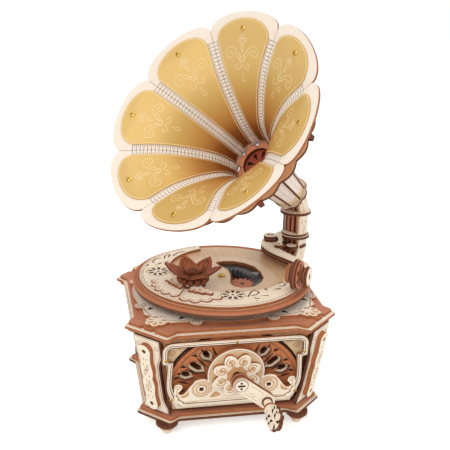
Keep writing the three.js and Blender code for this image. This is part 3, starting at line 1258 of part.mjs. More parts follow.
// One petal in its own frame, with x across, y away from the horn's axis and z back. A row is a
// level line across the petal at one of the seam's points, from edge to edge.
function petalRow(row, share, offset) {
  const at = seamRows[row];
  const next = seamRows[Math.min(row + 1, SEAM_ROWS)];
  const last = seamRows[Math.max(row - 1, 0)];
  const slope = Math.atan2((next.y - last.y) * Math.cos(petalHalfAngle), next.x - last.x);
  const y = at.y * Math.cos(petalHalfAngle) + offset * Math.cos(slope);
  const half = share * (y * Math.tan(petalHalfAngle) - PETAL_GAP);
  const z = at.x - offset * Math.sin(slope);
  return [[-half, y, z], [half, y, z]];
}

// The rim bulges out from the first row as a round-ended tongue that leans forward
function rimRow(offset) {
  const [[left, y, z]] = petalRow(0, 1, offset);
  return Array.from({ length: PETAL_COLUMNS + 1 }, (_, j) => {
    const v = (2 * j) / PETAL_COLUMNS - 1;
    const rise = HORN_BULGE * Math.sqrt(1 - RIM_END_SHARE * v * v);
    return [-v * left, y + rise, z - rise * RIM_SWEEP_SHARE];
  });
}

// Closes an inner and an outer skin, each a list of rows, into one sheet
function sheetSolid(inner, outer) {
  const positions = [];
  const fan = (ring) => {
    for (let i = 2; i < ring.length; i += 1) {
      positions.push(...ring[0], ...ring[i - 1], ...ring[i]);
    }
  };
  for (let i = 1; i < inner.length; i += 1) {
    fan([...inner[i - 1], ...[...inner[i]].reverse()]);
    fan([...outer[i], ...[...outer[i - 1]].reverse()]);
    const [low, high] = [inner, outer].map((skin) => [skin[i - 1], skin[i]]);
    fan([low[0][0], low[1][0], high[1][0], high[0][0]]);
    fan([low[1].at(-1), low[0].at(-1), high[0].at(-1), high[1].at(-1)]);
  }
  const cap = (low, high) => low.slice(1).forEach((point, j) => fan([low[j], high[j], high[j + 1], point]));
  cap(inner[0], outer[0]);
  cap([...inner.at(-1)].reverse(), [...outer.at(-1)].reverse());
  const geometry = new THREE.BufferGeometry();
  geometry.setAttribute('position', new THREE.Float32BufferAttribute(positions, 3));
  return toSolid(geometry);
}

function petal() {
  const rows = seamRows.map((_, row) => row);
  const skin = (offset) => [rimRow(offset), ...rows.map((row) => petalRow(row, 1, offset))];
  const cardSkin = (offset) => rows.slice(0, CARD_ROWS).map((row) => {
    const share = 1 - PETAL_MARGIN / (seamRows[row].y * Math.sin(petalHalfAngle));
    return petalRow(row, share, offset);
  });
  const ply = sheetSolid(skin(0), skin(PETAL_THICK));
  const card = sheetSolid(cardSkin(-PETAL_CARD), cardSkin(PETAL_THICK / 2));
  return join(ply, card);
}

const petalSolid = petal();
for (let k = 0; k < HORN_SIDES; k += 1) {
  const mesh = piece(`petal_${k + 1}`, 'gold', petalSolid, hornGroup);
  mesh.rotation.z = rad(HORN_START) + petalHalfAngle + (k * FULL) / HORN_SIDES - Math.PI / 2;
}

function octagon(radius) {
  return turned(round(0, 0, radius, HORN_SIDES), rad(HORN_START));
}

// Scalloped ring plate that grips the petals from behind
function hornRing() {
  const row = seamRows.findIndex((point) => point.x >= RING_L);
  const [near, far] = [seamRows[row - 1], seamRows[row]];
  const seamHere = near.y + ((far.y - near.y) * (RING_L - near.x)) / (far.x - near.x);
  const inner = seamHere + PETAL_THICK + RING_CLEAR;
  const outline = lobed(0, 0, RING_RADIUS, RING_LOBE, RING_LOBES, LOBE_STEPS);
  return slab(outline, RING_L, RING_L + PLY, [octagon(inner)]);
}

piece('horn_ring', 'brown', hornRing(), hornGroup);

// Throat disc with a ring of drop-shaped slots
function throatDisc() {
  const slots = Array.from({ length: THROAT_SLOTS }, (_, i) => {
    const bulb = THROAT_SLOT_OUT - THROAT_SLOT_HALF;
    const end = arc(bulb, 0, THROAT_SLOT_HALF, -Math.PI / 2, Math.PI / 2, ARC_STEPS / 2);
    return turned([[THROAT_SLOT_IN, 0], ...end], rad(HORN_START) + ((i + HALF_SHARE) * FULL) / THROAT_SLOTS);
  });
  return slab(octagon(THROAT_RADIUS), THROAT_L, THROAT_L + THROAT_THICK, slots);
}

piece('throat_disc', 'red', throatDisc(), hornGroup);

// Neck: an eight-sided tube that narrows from the throat to the column's elbow
function frustum(low, high, lowRadius, highRadius) {
  const geometry = new THREE.CylinderGeometry(highRadius, lowRadius, high - low, HORN_SIDES);
  geometry.rotateX(Math.PI / 2);
  geometry.rotateZ(rad(HORN_START) - Math.PI / 2);
  geometry.translate(0, 0, (low + high) / 2);
  return toSolid(geometry);
}

const NECK_LOW = THROAT_L + THROAT_THICK + FIT_GAP;
const ELBOW_L = HORN_AXIS_LENGTH - ELBOW_RADIUS * Math.tan((Math.PI / 2 - dip) / 2);
const NECK_RING_L = ELBOW_L - FIT_GAP - NECK_RING_THICK;
const NECK_HIGH = NECK_RING_L - FIT_GAP;

function neck() {
  const [low, mid, high, wall] = [NECK_LOW, NECK_MID_L, NECK_HIGH, NECK_WALL];
  const outer = join(
    frustum(low, mid, NECK_RADIUS, NECK_MID_RADIUS),
    frustum(mid, high, NECK_MID_RADIUS, NECK_END_RADIUS),
  );
  const bore = join(
    frustum(low - OVERRUN, mid, NECK_RADIUS - wall, NECK_MID_RADIUS - wall),
    frustum(mid, high - wall, NECK_MID_RADIUS - wall, NECK_END_RADIUS - wall),
  );
  return cut(outer, bore);
}

piece('neck', 'cream', neck(), hornGroup);
piece('neck_ring', 'red', slab(lobed(0, 0, NECK_RING_RADIUS, OVERRUN, NECK_RING_LOBES, LOBE_STEPS),
  NECK_RING_L, NECK_RING_L + NECK_RING_THICK), hornGroup);

// The part's origin is the middle of its footprint on the floor
assembly.updateMatrixWorld(true);
const bounds = new THREE.Box3().setFromObject(assembly, true);
const middle = bounds.getCenter(new THREE.Vector3());
assembly.position.set(-middle.x, -middle.y, -bounds.min.z);
assembly.updateMatrixWorld(true);

export default assembly;
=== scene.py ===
"""Looks of a hand-cranked disc music box in the form of a small horn gramophone, cut from
plywood sheet. Shapes are drawn in millimetres round the turntable's axis, with +X to the
right, +Y to the back and z = 0 on the floor, and become metres when a piece is made."""

import json
from math import acos, atan, atan2, cos, hypot, pi, radians, sin, sqrt, tan

import bmesh
import bpy
from mathutils import Matrix, Vector

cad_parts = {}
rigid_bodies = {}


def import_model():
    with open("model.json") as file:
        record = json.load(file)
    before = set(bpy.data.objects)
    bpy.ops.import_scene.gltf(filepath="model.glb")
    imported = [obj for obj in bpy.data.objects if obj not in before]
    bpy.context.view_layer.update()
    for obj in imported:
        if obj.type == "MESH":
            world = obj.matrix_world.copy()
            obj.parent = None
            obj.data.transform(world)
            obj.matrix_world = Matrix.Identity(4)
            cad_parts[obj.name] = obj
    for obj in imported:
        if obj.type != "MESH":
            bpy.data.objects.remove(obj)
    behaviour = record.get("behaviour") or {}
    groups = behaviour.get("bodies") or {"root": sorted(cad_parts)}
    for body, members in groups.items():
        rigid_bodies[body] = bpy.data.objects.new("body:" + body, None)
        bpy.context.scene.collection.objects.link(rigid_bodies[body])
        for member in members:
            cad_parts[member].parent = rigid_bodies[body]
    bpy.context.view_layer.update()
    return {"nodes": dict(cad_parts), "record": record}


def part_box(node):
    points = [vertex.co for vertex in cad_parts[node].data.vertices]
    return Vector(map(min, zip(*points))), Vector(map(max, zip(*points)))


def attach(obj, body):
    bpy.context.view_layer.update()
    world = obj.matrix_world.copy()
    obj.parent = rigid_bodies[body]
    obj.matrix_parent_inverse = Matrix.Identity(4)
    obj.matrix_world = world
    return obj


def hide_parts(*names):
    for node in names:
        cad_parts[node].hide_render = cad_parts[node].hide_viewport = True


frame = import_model()

# The turntable's axis in the frame, and millimetres to metres
MM = 0.001
axis_low, axis_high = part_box("spindle")
ORIGIN = Vector(((axis_low.x + axis_high.x) / 2, (axis_low.y + axis_high.y) / 2, 0))
TO_FRAME = Matrix.Translation(ORIGIN) @ Matrix.Scale(MM, 4)
FULL = 2 * pi
HERE = Matrix.Identity(4)

# Sheet: its thickness, its softened edge, how far an engraved line stands off the face, and the
# step between faces that would lie in one plane
PLY = 3.0
SOFT = 0.16
PROUD = 0.05
APART = 0.02
LINE = 0.42

# ---- outlines: lists of (x, y) ----


def arc(x, y, radius, start, end, steps):
    turns = [start + (end - start) * i / steps for i in range(steps + 1)]
    return [(x + radius * cos(a), y + radius * sin(a)) for a in turns]


def ring(x, y, radius, steps=48):
    return arc(x, y, radius, 0, FULL, steps)[:-1]


def box(half_x, half_y, x=0.0, y=0.0):
    return [(x + side * half_x, y + end * half_y) for side, end in ((-1, -1), (1, -1), (1, 1), (-1, 1))]


def pill(x0, y0, x1, y1, half, steps=10):
    """A slot's outline: two half circles joined by straight sides."""
    way = atan2(y1 - y0, x1 - x0)
    end = arc(x1, y1, half, way - pi / 2, way + pi / 2, steps)
    return end + arc(x0, y0, half, way + pi / 2, way + 3 * pi / 2, steps)


def lobed(x, y, radius, rise, lobes, steps):
    """A circle with a row of round lobes that stand out by a rise."""
    points = []
    for i in range(lobes * steps):
        r = radius + rise * abs(sin(pi * i / steps))
        a = FULL * i / (lobes * steps)
        points.append((x + r * cos(a), y + r * sin(a)))
    return points


def turned(points, angle, x=0.0, y=0.0):
    c, s = cos(angle), sin(angle)
    return [(x + px * c - py * s, y + px * s + py * c) for px, py in points]


def mirrored(points):
    return [(-x, y) for x, y in reversed(points)]


def flipped(points, side):
    """The points as they are for side 1, and their mirror image for side -1."""
    return [(side * x, y) for x, y in points]


def spread(points, steps=6, closed=False):
    """A smooth line through the points."""
    n = len(points)
    line = []
    for i in range(n if closed else n - 1):
        p = [points[(i + k) % n] if closed else points[min(max(i + k, 0), n - 1)] for k in (-1, 0, 1, 2)]
        for j in range(steps):
            t = j / steps
            w = (-t + 2 * t * t - t ** 3, 2 - 5 * t * t + 3 * t ** 3,
                 t + 4 * t * t - 3 * t ** 3, t ** 3 - t * t)
            line.append(tuple(sum(w[k] * p[k][d] for k in range(4)) / 2 for d in (0, 1)))
    return line if closed else line + [points[-1]]


def curl(x, y, radius, start, turns, end=0.25, steps=30):
    """A spiral that winds in from its radius to a share of it."""
    path = []
    for i in range(steps + 1):
        reach, way = radius * (1 - (1 - end) * i / steps), start + turns * FULL * i / steps
        path.append((x + reach * cos(way), y + reach * sin(way)))
    return path


def drop(x, y, long, half, angle, steps=8):
    """A tear-drop whose point is at the given place and whose round end lies along the angle."""
    bulb = arc(long - half, 0, half, -pi / 2, pi / 2, steps)
    return turned([(0, 0)] + bulb, angle, x, y)


def leaf(x, y, long, half, angle, steps=6):
    """A leaf with a point at each end."""
    side = [(long * i / steps, -half * sin(pi * i / steps)) for i in range(steps + 1)]
    back = [(long * i / steps, half * sin(pi * i / steps)) for i in range(steps - 1, 0, -1)]
    return turned(side + back, angle, x, y)


def inset(outline, by):
    """The outline drawn in by a small step, for a line that follows an edge."""
    n = len(outline)
    drawn = []
    for i in range(n):
        (x0, y0), (x1, y1) = outline[i - 1], outline[(i + 1) % n]
        long = hypot(x1 - x0, y1 - y0) or 1
        drawn.append((outline[i][0] - by * (y1 - y0) / long, outline[i][1] + by * (x1 - x0) / long))
    return drawn


# ---- pieces: parts are gathered in one mesh, each with its own finish ----


class Piece:
    """A visible piece that stands for one CAD node, and is named after it."""

    def __init__(self, node):
        self.node = node
        self.mesh = bmesh.new()
        self.finishes = []

    def finish_index(self, finish):
        if finish not in self.finishes:
            self.finishes.append(finish)
        return self.finishes.index(finish)

    def take(self, part, place=HERE):
        """Adds a part's faces, which keep their finishes, and empties the part."""
        bmesh.ops.transform(part, matrix=place, verts=part.verts)
        held = bpy.data.meshes.new("held")
        part.to_mesh(held)
        part.free()
        self.mesh.from_mesh(held)
        bpy.data.meshes.remove(held)
        return self

    def plate(self, outline, low, high, holes=(), face="cream", edge="burnt_dark", place=HERE, soft=SOFT):
        """A sheet cut to an outline, with holes, lying between two heights."""
        part = bmesh.new()
        rim = outline_edges(part, outline)
        for hole in holes:
            rim += outline_edges(part, hole)
        bmesh.ops.triangle_fill(part, use_beauty=True, use_dissolve=False, edges=rim, normal=(0, 0, 1))
        made = bmesh.ops.extrude_face_region(part, geom=part.faces[:])["geom"]
        lifted = [v for v in made if isinstance(v, bmesh.types.BMVert)]
        bmesh.ops.translate(part, vec=(0, 0, high - low), verts=lifted)
        bmesh.ops.translate(part, vec=(0, 0, low), verts=part.verts)
        bmesh.ops.recalc_face_normals(part, faces=part.faces)
        if soft:
            level = [e for e in part.edges if abs(e.verts[0].co.z - e.verts[1].co.z) < soft / 2
                     and len(e.link_faces) == 2 and e.calc_face_angle() > 1]
            bmesh.ops.bevel(part, geom=level, offset=soft, offset_type="OFFSET", segments=1,
                            profile=0.5, affect="EDGES", material=-1, clamp_overlap=True)
        self.paint(part, face, edge)
        return self.take(part, place)

    def paint(self, part, face, edge):
        face_index, edge_index = self.finish_index(face), self.finish_index(edge)
        for f in part.faces:
            f.material_index = face_index if abs(f.normal.z) > 0.5 else edge_index

    def rods(self, paths, radius, finish, place=HERE, closed=False, flat=1.0, sides=2):
        """Round rods that follow paths, flattened where they stand for ribbons."""
        curve = bpy.data.curves.new("rods", "CURVE")
        curve.dimensions = "3D"
        curve.bevel_depth = radius
        curve.bevel_resolution = sides
        curve.use_fill_caps = True
        for path in paths:
            spline = curve.splines.new("POLY")
            spline.points.add(len(path) - 1)
            for point, spot in zip(spline.points, path):
                point.co = (*spot, 1) if len(spot) == 3 else (*spot, 0, 1)
            spline.use_cyclic_u = closed
        holder = bpy.data.objects.new("rods", curve)
        made = bpy.data.meshes.new_from_object(holder)
        part = bmesh.new()
        part.from_mesh(made)
        for waste, home in ((holder, bpy.data.objects), (curve, bpy.data.curves), (made, bpy.data.meshes)):
            home.remove(waste)
        bmesh.ops.scale(part, vec=(1, 1, flat), verts=part.verts)
        index = self.finish_index(finish)
        for f in part.faces:
            f.material_index = index
        return self.take(part, place)

    def lines(self, paths, height, width=LINE, finish="engraved", place=HERE, closed=False):
        """Engraved lines on a face: flat ribbons that follow the paths."""
        level = place @ Matrix.Translation((0, 0, height))
        return self.rods(paths, width / 2, finish, level, closed, 2 * PROUD / width, 0)

    def inlay(self, outline, height, finish="tan", place=HERE, holes=(), thick=PROUD):
        """A shallow engraved field, seen as a thin skin on the face."""
        return self.plate(outline, height - thick, height + thick, holes, finish, finish, place, soft=0)

    def lathe(self, profile, finish, steps=32, place=HERE):
        """A turned solid from (radius, height) points, whose first and last lie on the axis."""
        part = bmesh.new()
        verts = [part.verts.new((r, 0, z)) for r, z in profile]
        edges = [part.edges.new(pair) for pair in zip(verts, verts[1:])]
        bmesh.ops.spin(part, geom=verts + edges, cent=(0, 0, 0), axis=(0, 0, 1), angle=FULL,
                       steps=steps, use_merge=True, use_duplicate=False)
        bmesh.ops.remove_doubles(part, verts=part.verts, dist=0.001)
        bmesh.ops.recalc_face_normals(part, faces=part.faces)
        index = self.finish_index(finish)
        for f in part.faces:
            f.material_index = index
        return self.take(part, place)

    def screw(self, x, y, height, radius=1.5, place=HERE):
        """A small domed brass screw head with a cross cut."""
        rise = radius * 0.5
        dome = [(radius * cos(radians(a)), height + rise * sin(radians(a))) for a in (0, 25, 50, 72)]
        foot = [(0, height - 0.3), (radius, height - 0.3)]
        self.lathe(foot + dome + [(0, height + rise)], "brass", 16, place @ Matrix.Translation((x, y, 0)))
        top = height + radius * 0.46
        for quarter in (0, pi / 2):
            slot = turned(box(radius * 0.62, radius * 0.14), quarter + 0.4, x, y)
            # The cross cut is a dark skin: painted shade in the slot
            self.plate(slot, top - 0.1, top + 0.06, (), "screw_slot_shade", "screw_slot_shade", place, soft=0)

    def build(self, body, smooth=35, added=False):
        """The finished object, which replaces its node unless it is an added one."""
        name = self.node if added else f"{self.node}_dressed"
        bmesh.ops.transform(self.mesh, matrix=TO_FRAME, verts=self.mesh.verts)
        data = bpy.data.meshes.new(name)
        self.mesh.to_mesh(data)
        self.mesh.free()
        for finish in self.finishes:
            data.materials.append(FINISHES[finish])
        data.shade_smooth()
        data.set_sharp_from_angle(angle=radians(smooth))
        made = bpy.data.objects.new(name, data)
        bpy.context.scene.collection.objects.link(made)
        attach(made, body)
        if not added:
            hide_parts(self.node)


def outline_edges(part, outline):
    verts = [part.verts.new((x, y, 0)) for x, y in outline]
    return [part.edges.new(pair) for pair in zip(verts, verts[1:] + verts[:1])]

# ---- finishes ----


class Socket:
    """A node's output, on which sums are written as sums."""

    def __init__(self, shop, link):
        self.shop, self.link = shop, link

    def sum(self, operation, left, right):
        return self.shop.node("ShaderNodeMath", {"operation": operation}, {0: left, 1: right})

    def __add__(self, other):
        return self.sum("ADD", self, other)

    def __radd__(self, other):
        return self.sum("ADD", other, self)

    def __sub__(self, other):
        return self.sum("SUBTRACT", self, other)

    def __rsub__(self, other):
        return self.sum("SUBTRACT", other, self)

    def __mul__(self, other):
        return self.sum("MULTIPLY", self, other)

    def __rmul__(self, other):
        return self.sum("MULTIPLY", other, self)


class Shop:
    """One material, built from nodes."""

    def __init__(self, name):
        self.material = bpy.data.materials.new(name)
        self.material.use_nodes = True
        self.tree = self.material.node_tree
        self.shader = self.tree.nodes["Principled BSDF"]

    def node(self, kind, settings, inputs, output=0):
        """A new node with its settings and inputs, and the output that the next one takes."""
        made = self.tree.nodes.new(kind)
        for key, value in settings.items():
            if key == "stops":
                for stop, (place, colour) in zip(self.stops(made, len(value)), value):
                    stop.position = place
                    stop.color = (*colour, 1)
            else:
                setattr(made, key, value)
        for key, value in inputs.items():
            self.set(made.inputs[key], value)
        return Socket(self, made.outputs[output])

    def stops(self, ramp, count):
        while len(ramp.color_ramp.elements) < count:
            ramp.color_ramp.elements.new(1)
        return ramp.color_ramp.elements

    def set(self, socket, value):
        if isinstance(value, Socket):
            self.tree.links.new(value.link, socket)
        elif isinstance(value, tuple) and len(value) == 3 and socket.type == "RGBA":
            socket.default_value = (*value, 1)
        else:
            socket.default_value = value

    def place(self, scale):
        """Place on the object, scaled to a pattern's size per millimetre."""
        spot = self.node("ShaderNodeTexCoord", {}, {}, "Object")
        return self.node("ShaderNodeMapping", {}, {"Vector": spot, "Scale": tuple(s / MM for s in scale)})

    def noise(self, scale, detail, rough):
        """Noise on the object, with its size per millimetre along each axis or along all three."""
        spot = self.place(scale if isinstance(scale, tuple) else (scale,) * 3)
        inputs = {"Vector": spot, "Scale": 1.0, "Detail": detail, "Roughness": rough}
        return self.node("ShaderNodeTexNoise", {}, inputs)

    def blend(self, share, first, second):
        return self.node("ShaderNodeMix", {"data_type": "RGBA"}, {0: share, 6: first, 7: second}, 2)

    def ramp(self, value, *stops):
        return self.node("ShaderNodeValToRGB", {"stops": stops}, {"Fac": value})

    def finish(self, colour, roughness, bump=None, height=0.0, metal=0.0, coat=0.0, **rest):
        """Sets the shader, with a bump of the given height in millimetres."""
        self.set(self.shader.inputs["Base Color"], colour)
        self.set(self.shader.inputs["Roughness"], roughness)
        self.set(self.shader.inputs["Metallic"], metal)
        self.set(self.shader.inputs["Coat Weight"], coat)
        for key, value in rest.items():
            self.set(self.shader.inputs[key.replace("_", " ")], value)
        if bump is not None:
            normal = self.node("ShaderNodeBump", {}, {"Strength": 0.6, "Distance": height * MM, "Height": bump})
            self.set(self.shader.inputs["Normal"], normal)
        return self.material


def shade(text):
    """A display colour such as c9a24e as the linear values that a shader takes."""
    parts = [int(text[i:i + 2], 16) / 255 for i in (0, 2, 4)]
    return tuple(p / 12.92 if p <= 0.04045 else ((p + 0.055) / 1.055) ** 2.4 for p in parts)


def stops(*pairs):
    return [(place, shade(colour)) for place, colour in pairs]


# The noises' sizes are waves per millimetre: fibres and pores are long along the grain
FIBRE, FIBRE_ALONG, PORE, PORE_ALONG, CLOUD = 0.9, 0.035, 3.4, 0.22, 0.03


def along_grain(across, along, way):
    return tuple(along if axis == way else across for axis in range(3))


def ply_face(name, pale, mid, dark, way, rough=0.62, strength=0.5):
    """A plywood face: long fibres along one way, fine pores, and slow clouds of colour."""
    shop = Shop(name)
    fibre = shop.noise(along_grain(FIBRE, FIBRE_ALONG, way), 4, 0.6)
    pore = shop.noise(along_grain(PORE, PORE_ALONG, way), 2, 0.5)
    cloud = shop.noise(CLOUD, 2, 0.5)
    base = shop.ramp(fibre, *stops((0.32, mid), (0.5, pale), (0.72, pale)))
    clouded = shop.blend(cloud * 0.35, base, shade(mid))
    pored = shop.ramp(pore, *stops((0.3, "ffffff"), (0.44, "000000")))
    colour = shop.blend(pored * strength, clouded, shade(dark))
    grain = fibre * 0.6 + pore * 0.4
    return shop.finish(colour, rough + 0.12 * fibre, grain, 0.12, Specular_IOR_Level=0.35)


def cut_edge(name, warm, deep, scale=1.0):
    """An edge cut by laser: browned, with darker streaks of soot."""
    shop = Shop(name)
    streak = shop.noise((1.4 * scale, 1.4 * scale, 0.9 * scale), 3, 0.6)
    soot = shop.noise(0.12, 2, 0.5)
    colour = shop.ramp(streak * 0.65 + soot * 0.35, *stops((0.3, deep), (0.52, warm), (0.75, warm)))
    return shop.finish(colour, 0.7 + 0.15 * soot, streak, 0.1, Specular_IOR_Level=0.3)


def record_face(name):
    """Pale varnished veneer, with its fibres front to back."""
    shop = Shop(name)
    fibre = shop.noise(along_grain(FIBRE, FIBRE_ALONG, 1), 4, 0.6)
    cloud = shop.noise(CLOUD, 2, 0.5)
    colour = shop.ramp(fibre * 0.6 + cloud * 0.4, *stops((0.34, "c9a57e"), (0.6, "dcc09a")))
    return shop.finish(colour, 0.3 + 0.1 * fibre, fibre, 0.05, coat=0.25, Specular_IOR_Level=0.4)


def engraving(name, light, deep):
    """A field or line burnt in by laser, in close passes that leave fine lines."""
    shop = Shop(name)
    passes = shop.noise((0.3, 0.3, 2.6), 1, 0.4)
    soot = shop.noise(0.5, 3, 0.6)
    colour = shop.ramp(passes * 0.4 + soot * 0.6, *stops((0.3, deep), (0.65, light)))
    return shop.finish(colour, 0.82 + 0.1 * soot, passes, 0.06, Specular_IOR_Level=0.2)


# The horn's axis: where the mouth's plane is in millimetres, and which way it runs back
HORN_SPOT = (-14.656, -8.698, 272.01)
HORN_BACK = Vector((0.63109, 0.48425, -0.60599))
# Painted shade darkens the card over this depth in metres towards the throat, and more slowly towards the side away
# from the light
CARD_SHADE_DEPTH, CARD_SHADE_SPREAD = 0.088, 0.42
CARD_UNLIT_SIDE = Vector((0.09, -0.813, -0.557))


def gold_card(name):
    """Satin gold card: fine grit and slow clouds, with painted shade that darkens it towards the throat and towards
    the side away from the light.
    """
    shop = Shop(name)
    grit = shop.noise(6, 2, 0.5)
    cloud = shop.noise(0.02, 3, 0.5)
    mouth = TO_FRAME @ Vector(HORN_SPOT)
    spot = shop.node("ShaderNodeTexCoord", {}, {}, "Object")

    def past_mouth(way):
        run = shop.node("ShaderNodeVectorMath", {"operation": "DOT_PRODUCT"}, {0: spot, 1: tuple(way)}, "Value")
        return run - mouth.dot(way)

    # Painted shade: how far past the mouth and towards the unlit side, with the card's own clouds and grit
    painted_shade = past_mouth(HORN_BACK) * (1 / CARD_SHADE_DEPTH) + past_mouth(CARD_UNLIT_SIDE) * (1 / CARD_SHADE_SPREAD)
    painted_shade = painted_shade + 0.2 * (cloud - 0.5) + 0.14 * (grit - 0.5)
    # The ramp runs from the card's own pale gold to the deep brown of the painted shade in the throat
    colour = shop.ramp(painted_shade, *stops((0.0, "d2ae69"), (0.25, "c49c50"), (0.45, "b98139"), (0.65, "9a5a1e"),
                                       (0.9, "713610")))
    return shop.finish(colour, 0.46 + 0.12 * grit, grit, 0.03, metal=0.3, Specular_IOR_Level=0.5)


def metal(name, pale, deep, rough):
    """Turned metal with fine rings and a little tarnish."""
    shop = Shop(name)
    turnings = shop.noise((0.4, 0.4, 5), 3, 0.6)
    tarnish = shop.noise(0.2, 3, 0.55)
    colour = shop.ramp(turnings * 0.4 + tarnish * 0.6, *stops((0.3, deep), (0.6, pale)))
    return shop.finish(colour, rough + 0.2 * tarnish, turnings, 0.03, metal=1.0)


def moulded(name, pale, deep, rough):
    """Moulded plastic with a faint orange peel and some dust."""
    shop = Shop(name)
    orange_peel = shop.noise(1.5, 2, 0.5)
    dust = shop.noise(0.15, 3, 0.6)
    colour = shop.ramp(dust, *stops((0.35, deep), (0.65, pale)))
    return shop.finish(colour, rough + 0.2 * dust, orange_peel, 0.03)


CREAM = "f6ead8", "ecdabf", "cdab84"
BROWN = "c48163", "b0704f", "804a34"
FINISHES = {
    "cream": ply_face("cream_ply", *CREAM, 0),
    "cream_up": ply_face("cream_ply_upright", *CREAM, 2),
    "brown": ply_face("brown_ply", *BROWN, 0, 0.6, 0.6),
    "brown_up": ply_face("brown_ply_upright", *BROWN, 2, 0.6, 0.6),
    "tan_ply": ply_face("tan_ply", "e8cfa9", "dab98c", "ad8457", 2, 0.66, 0.5),
    "orange": ply_face("orange_ply", "bf7444", "a85f36", "713a1e", 2, 0.6, 0.6),
    "red": ply_face("red_ply", "a04a30", "8a3a26", "572012", 1, 0.55, 0.5),
    "neck_panel": ply_face("neck_panel", "f3e6dc", "e6d5c6", "c8ad93", 2, 0.6, 0.3),
    "cream_side": cut_edge("pale_edge", "ecd7b0", "c9a574"),
    # A paler copy of the cream ply: painted light on the deck ring, which lies in the turntable's shade, and pale
    # wood on the small parts elsewhere
    "pale_and_lit_ply": ply_face("pale_and_lit_ply", "fbeedd", "f4e2cb", "d6b48c", 1),
    "flower": ply_face("flower_ply", "a8603e", "944f31", "5f2f1b", 1, 0.58, 0.5),
    "flower_line": engraving("flower_line", "5c2d1a", "43200f"),
    "petal": ply_face("petal_ply", "efe2d3", "e7d7c6", "cfb89e", 2, 0.6, 0.3),
    "field": engraving("pale_field", "e2c39c", "d0aa7c"),
    "rose": ply_face("rose_ply", "cf8763", "b9714f", "8a4a30", 2, 0.6, 0.5),
    "dark": ply_face("dark_ply", "6f3d2a", "5c3020", "351a12", 0, 0.6, 0.6),
    "burnt": cut_edge("burnt_edge", "a5683f", "6e3d22"),
    "orange_flat": ply_face("orange_ply_flat", "bc7650", "a5613e", "713c24", 0, 0.6, 0.6),
    "rib_edge": cut_edge("ribbed_edge", "6b4a38", "3a261c", 2.0),
    "record": record_face("record_face"),
    "groove": engraving("record_groove", "c79d72", "a87c57"),
    "side_brown": cut_edge("brown_edge", "a8683f", "7a4526"),
    "burnt_dark": cut_edge("burnt_dark_edge", "6d3c24", "3b1e12"),
    "engraved": engraving("engraved_line", "b07a4c", "85512c"),
    "engraved_deep": engraving("engraved_deep_line", "7a4a2c", "53301b"),
    "tan": engraving("engraved_field", "d2a97c", "bd8e60"),
    "peach": ply_face("peach_ply", "e6b384", "d9a071", "a9683f", 0, 0.6, 0.5),
    "card_edge": cut_edge("card_edge", "b98d55", "8a5f30"),
    "kerf": engraving("kerf", "6b4530", "4a2c1c"),
    # Painted shade: near-black skins, plugs and cords that stand in for the shade inside holes, slots, gaps and cuts
    "hollow_shade": engraving("painted_hollow_shade", "4a2818", "2c150c"),
    "gold": gold_card("gold_card"),
    "gold_line": engraving("gold_card_line", "f2dcb6", "e4c894"),
    "brass": metal("brass", "d9b45c", "a97f33", 0.22),
    "steel": metal("steel", "c9ccd0", "8f959c", 0.25),
    # Painted shade in the screw heads' slots
    "screw_slot_shade": engraving("screw_slot_shade", "5a4020", "2e1f10"),
    "grey": moulded("grey_plastic", "75767b", "55565b", 0.35),
}

# ---- CAD nodes that stay, with their finish ----

SLOT_FINISHES = {"gold_card": "gold", "cream_ply": "cream", "brown_ply": "brown", "dark_ply": "dark",
                 "red_ply": "red", "brass": "brass", "steel": "steel", "grey_plastic": "grey"}
for subpart in frame["record"]["subparts"]:
    materials = frame["nodes"][subpart["node"]].data.materials
    materials.clear()
    materials.append(FINISHES[SLOT_FINISHES[subpart["material_slot"]]])

# ---- horn ----

# Its frame: z runs back along its axis from the mouth's plane, and x is level across it
HORN_SIDE = Vector((0.60876, -0.79335, 0))
HORN_AXES = Matrix((HORN_SIDE, HORN_BACK.cross(HORN_SIDE), HORN_BACK))
HORN = Matrix.Translation(HORN_SPOT) @ HORN_AXES.transposed().to_4x4()
SIDES = 8
HALF_SIDE = pi / SIDES
FIRST_SEAM = radians(-119.8)

# The corner seams from mouth to throat: depth and radius, as shares of the mouth's radius and
# the horn's depth
MOUTH, DEPTH, BULGE = 97.5, 88.0, 17.0
FLARE = ((0, 1), (0.17, 0.72), (0.34, 0.54), (0.51, 0.405), (0.67, 0.308), (0.86, 0.252), (1, 0.241))
SEAM = [(DEPTH * l, MOUTH * r) for l, r in spread(FLARE, 12)]
# A petal's sheet, the gap at its seams, and how far back its rim sweeps as it bulges
SHEET, SEAM_GAP, RIM_SWEEP = 2.4, 0.12, 0.3


def petal_profile():
    """The petal's middle line: distance along it from the seams' rim, radius, and depth."""
    line, run = [], 0.0
    for l, r in SEAM:
        y = r * cos(HALF_SIDE)
        if line:
            run += hypot(y - line[-1][1], l - line[-1][2])
        line.append((run, y, l))
    far = hypot(1, RIM_SWEEP) * BULGE
    return [(-far, line[0][1] + BULGE, -RIM_SWEEP * BULGE)] + line


PROFILE = petal_profile()
PETAL_LONG = PROFILE[-1][0]


def along_petal(s):
    """Radius and depth of the petal's middle line at a distance along it."""
    for (s0, y0, l0), (s1, y1, l1) in zip(PROFILE, PROFILE[1:]):
        if s <= s1 or s1 == PETAL_LONG:
            share = (s - s0) / (s1 - s0)
            return y0 + (y1 - y0) * share, l0 + (l1 - l0) * share
    return PROFILE[-1][1:]


def half_wide(s):
    return along_petal(max(s, 0))[0] * tan(HALF_SIDE)


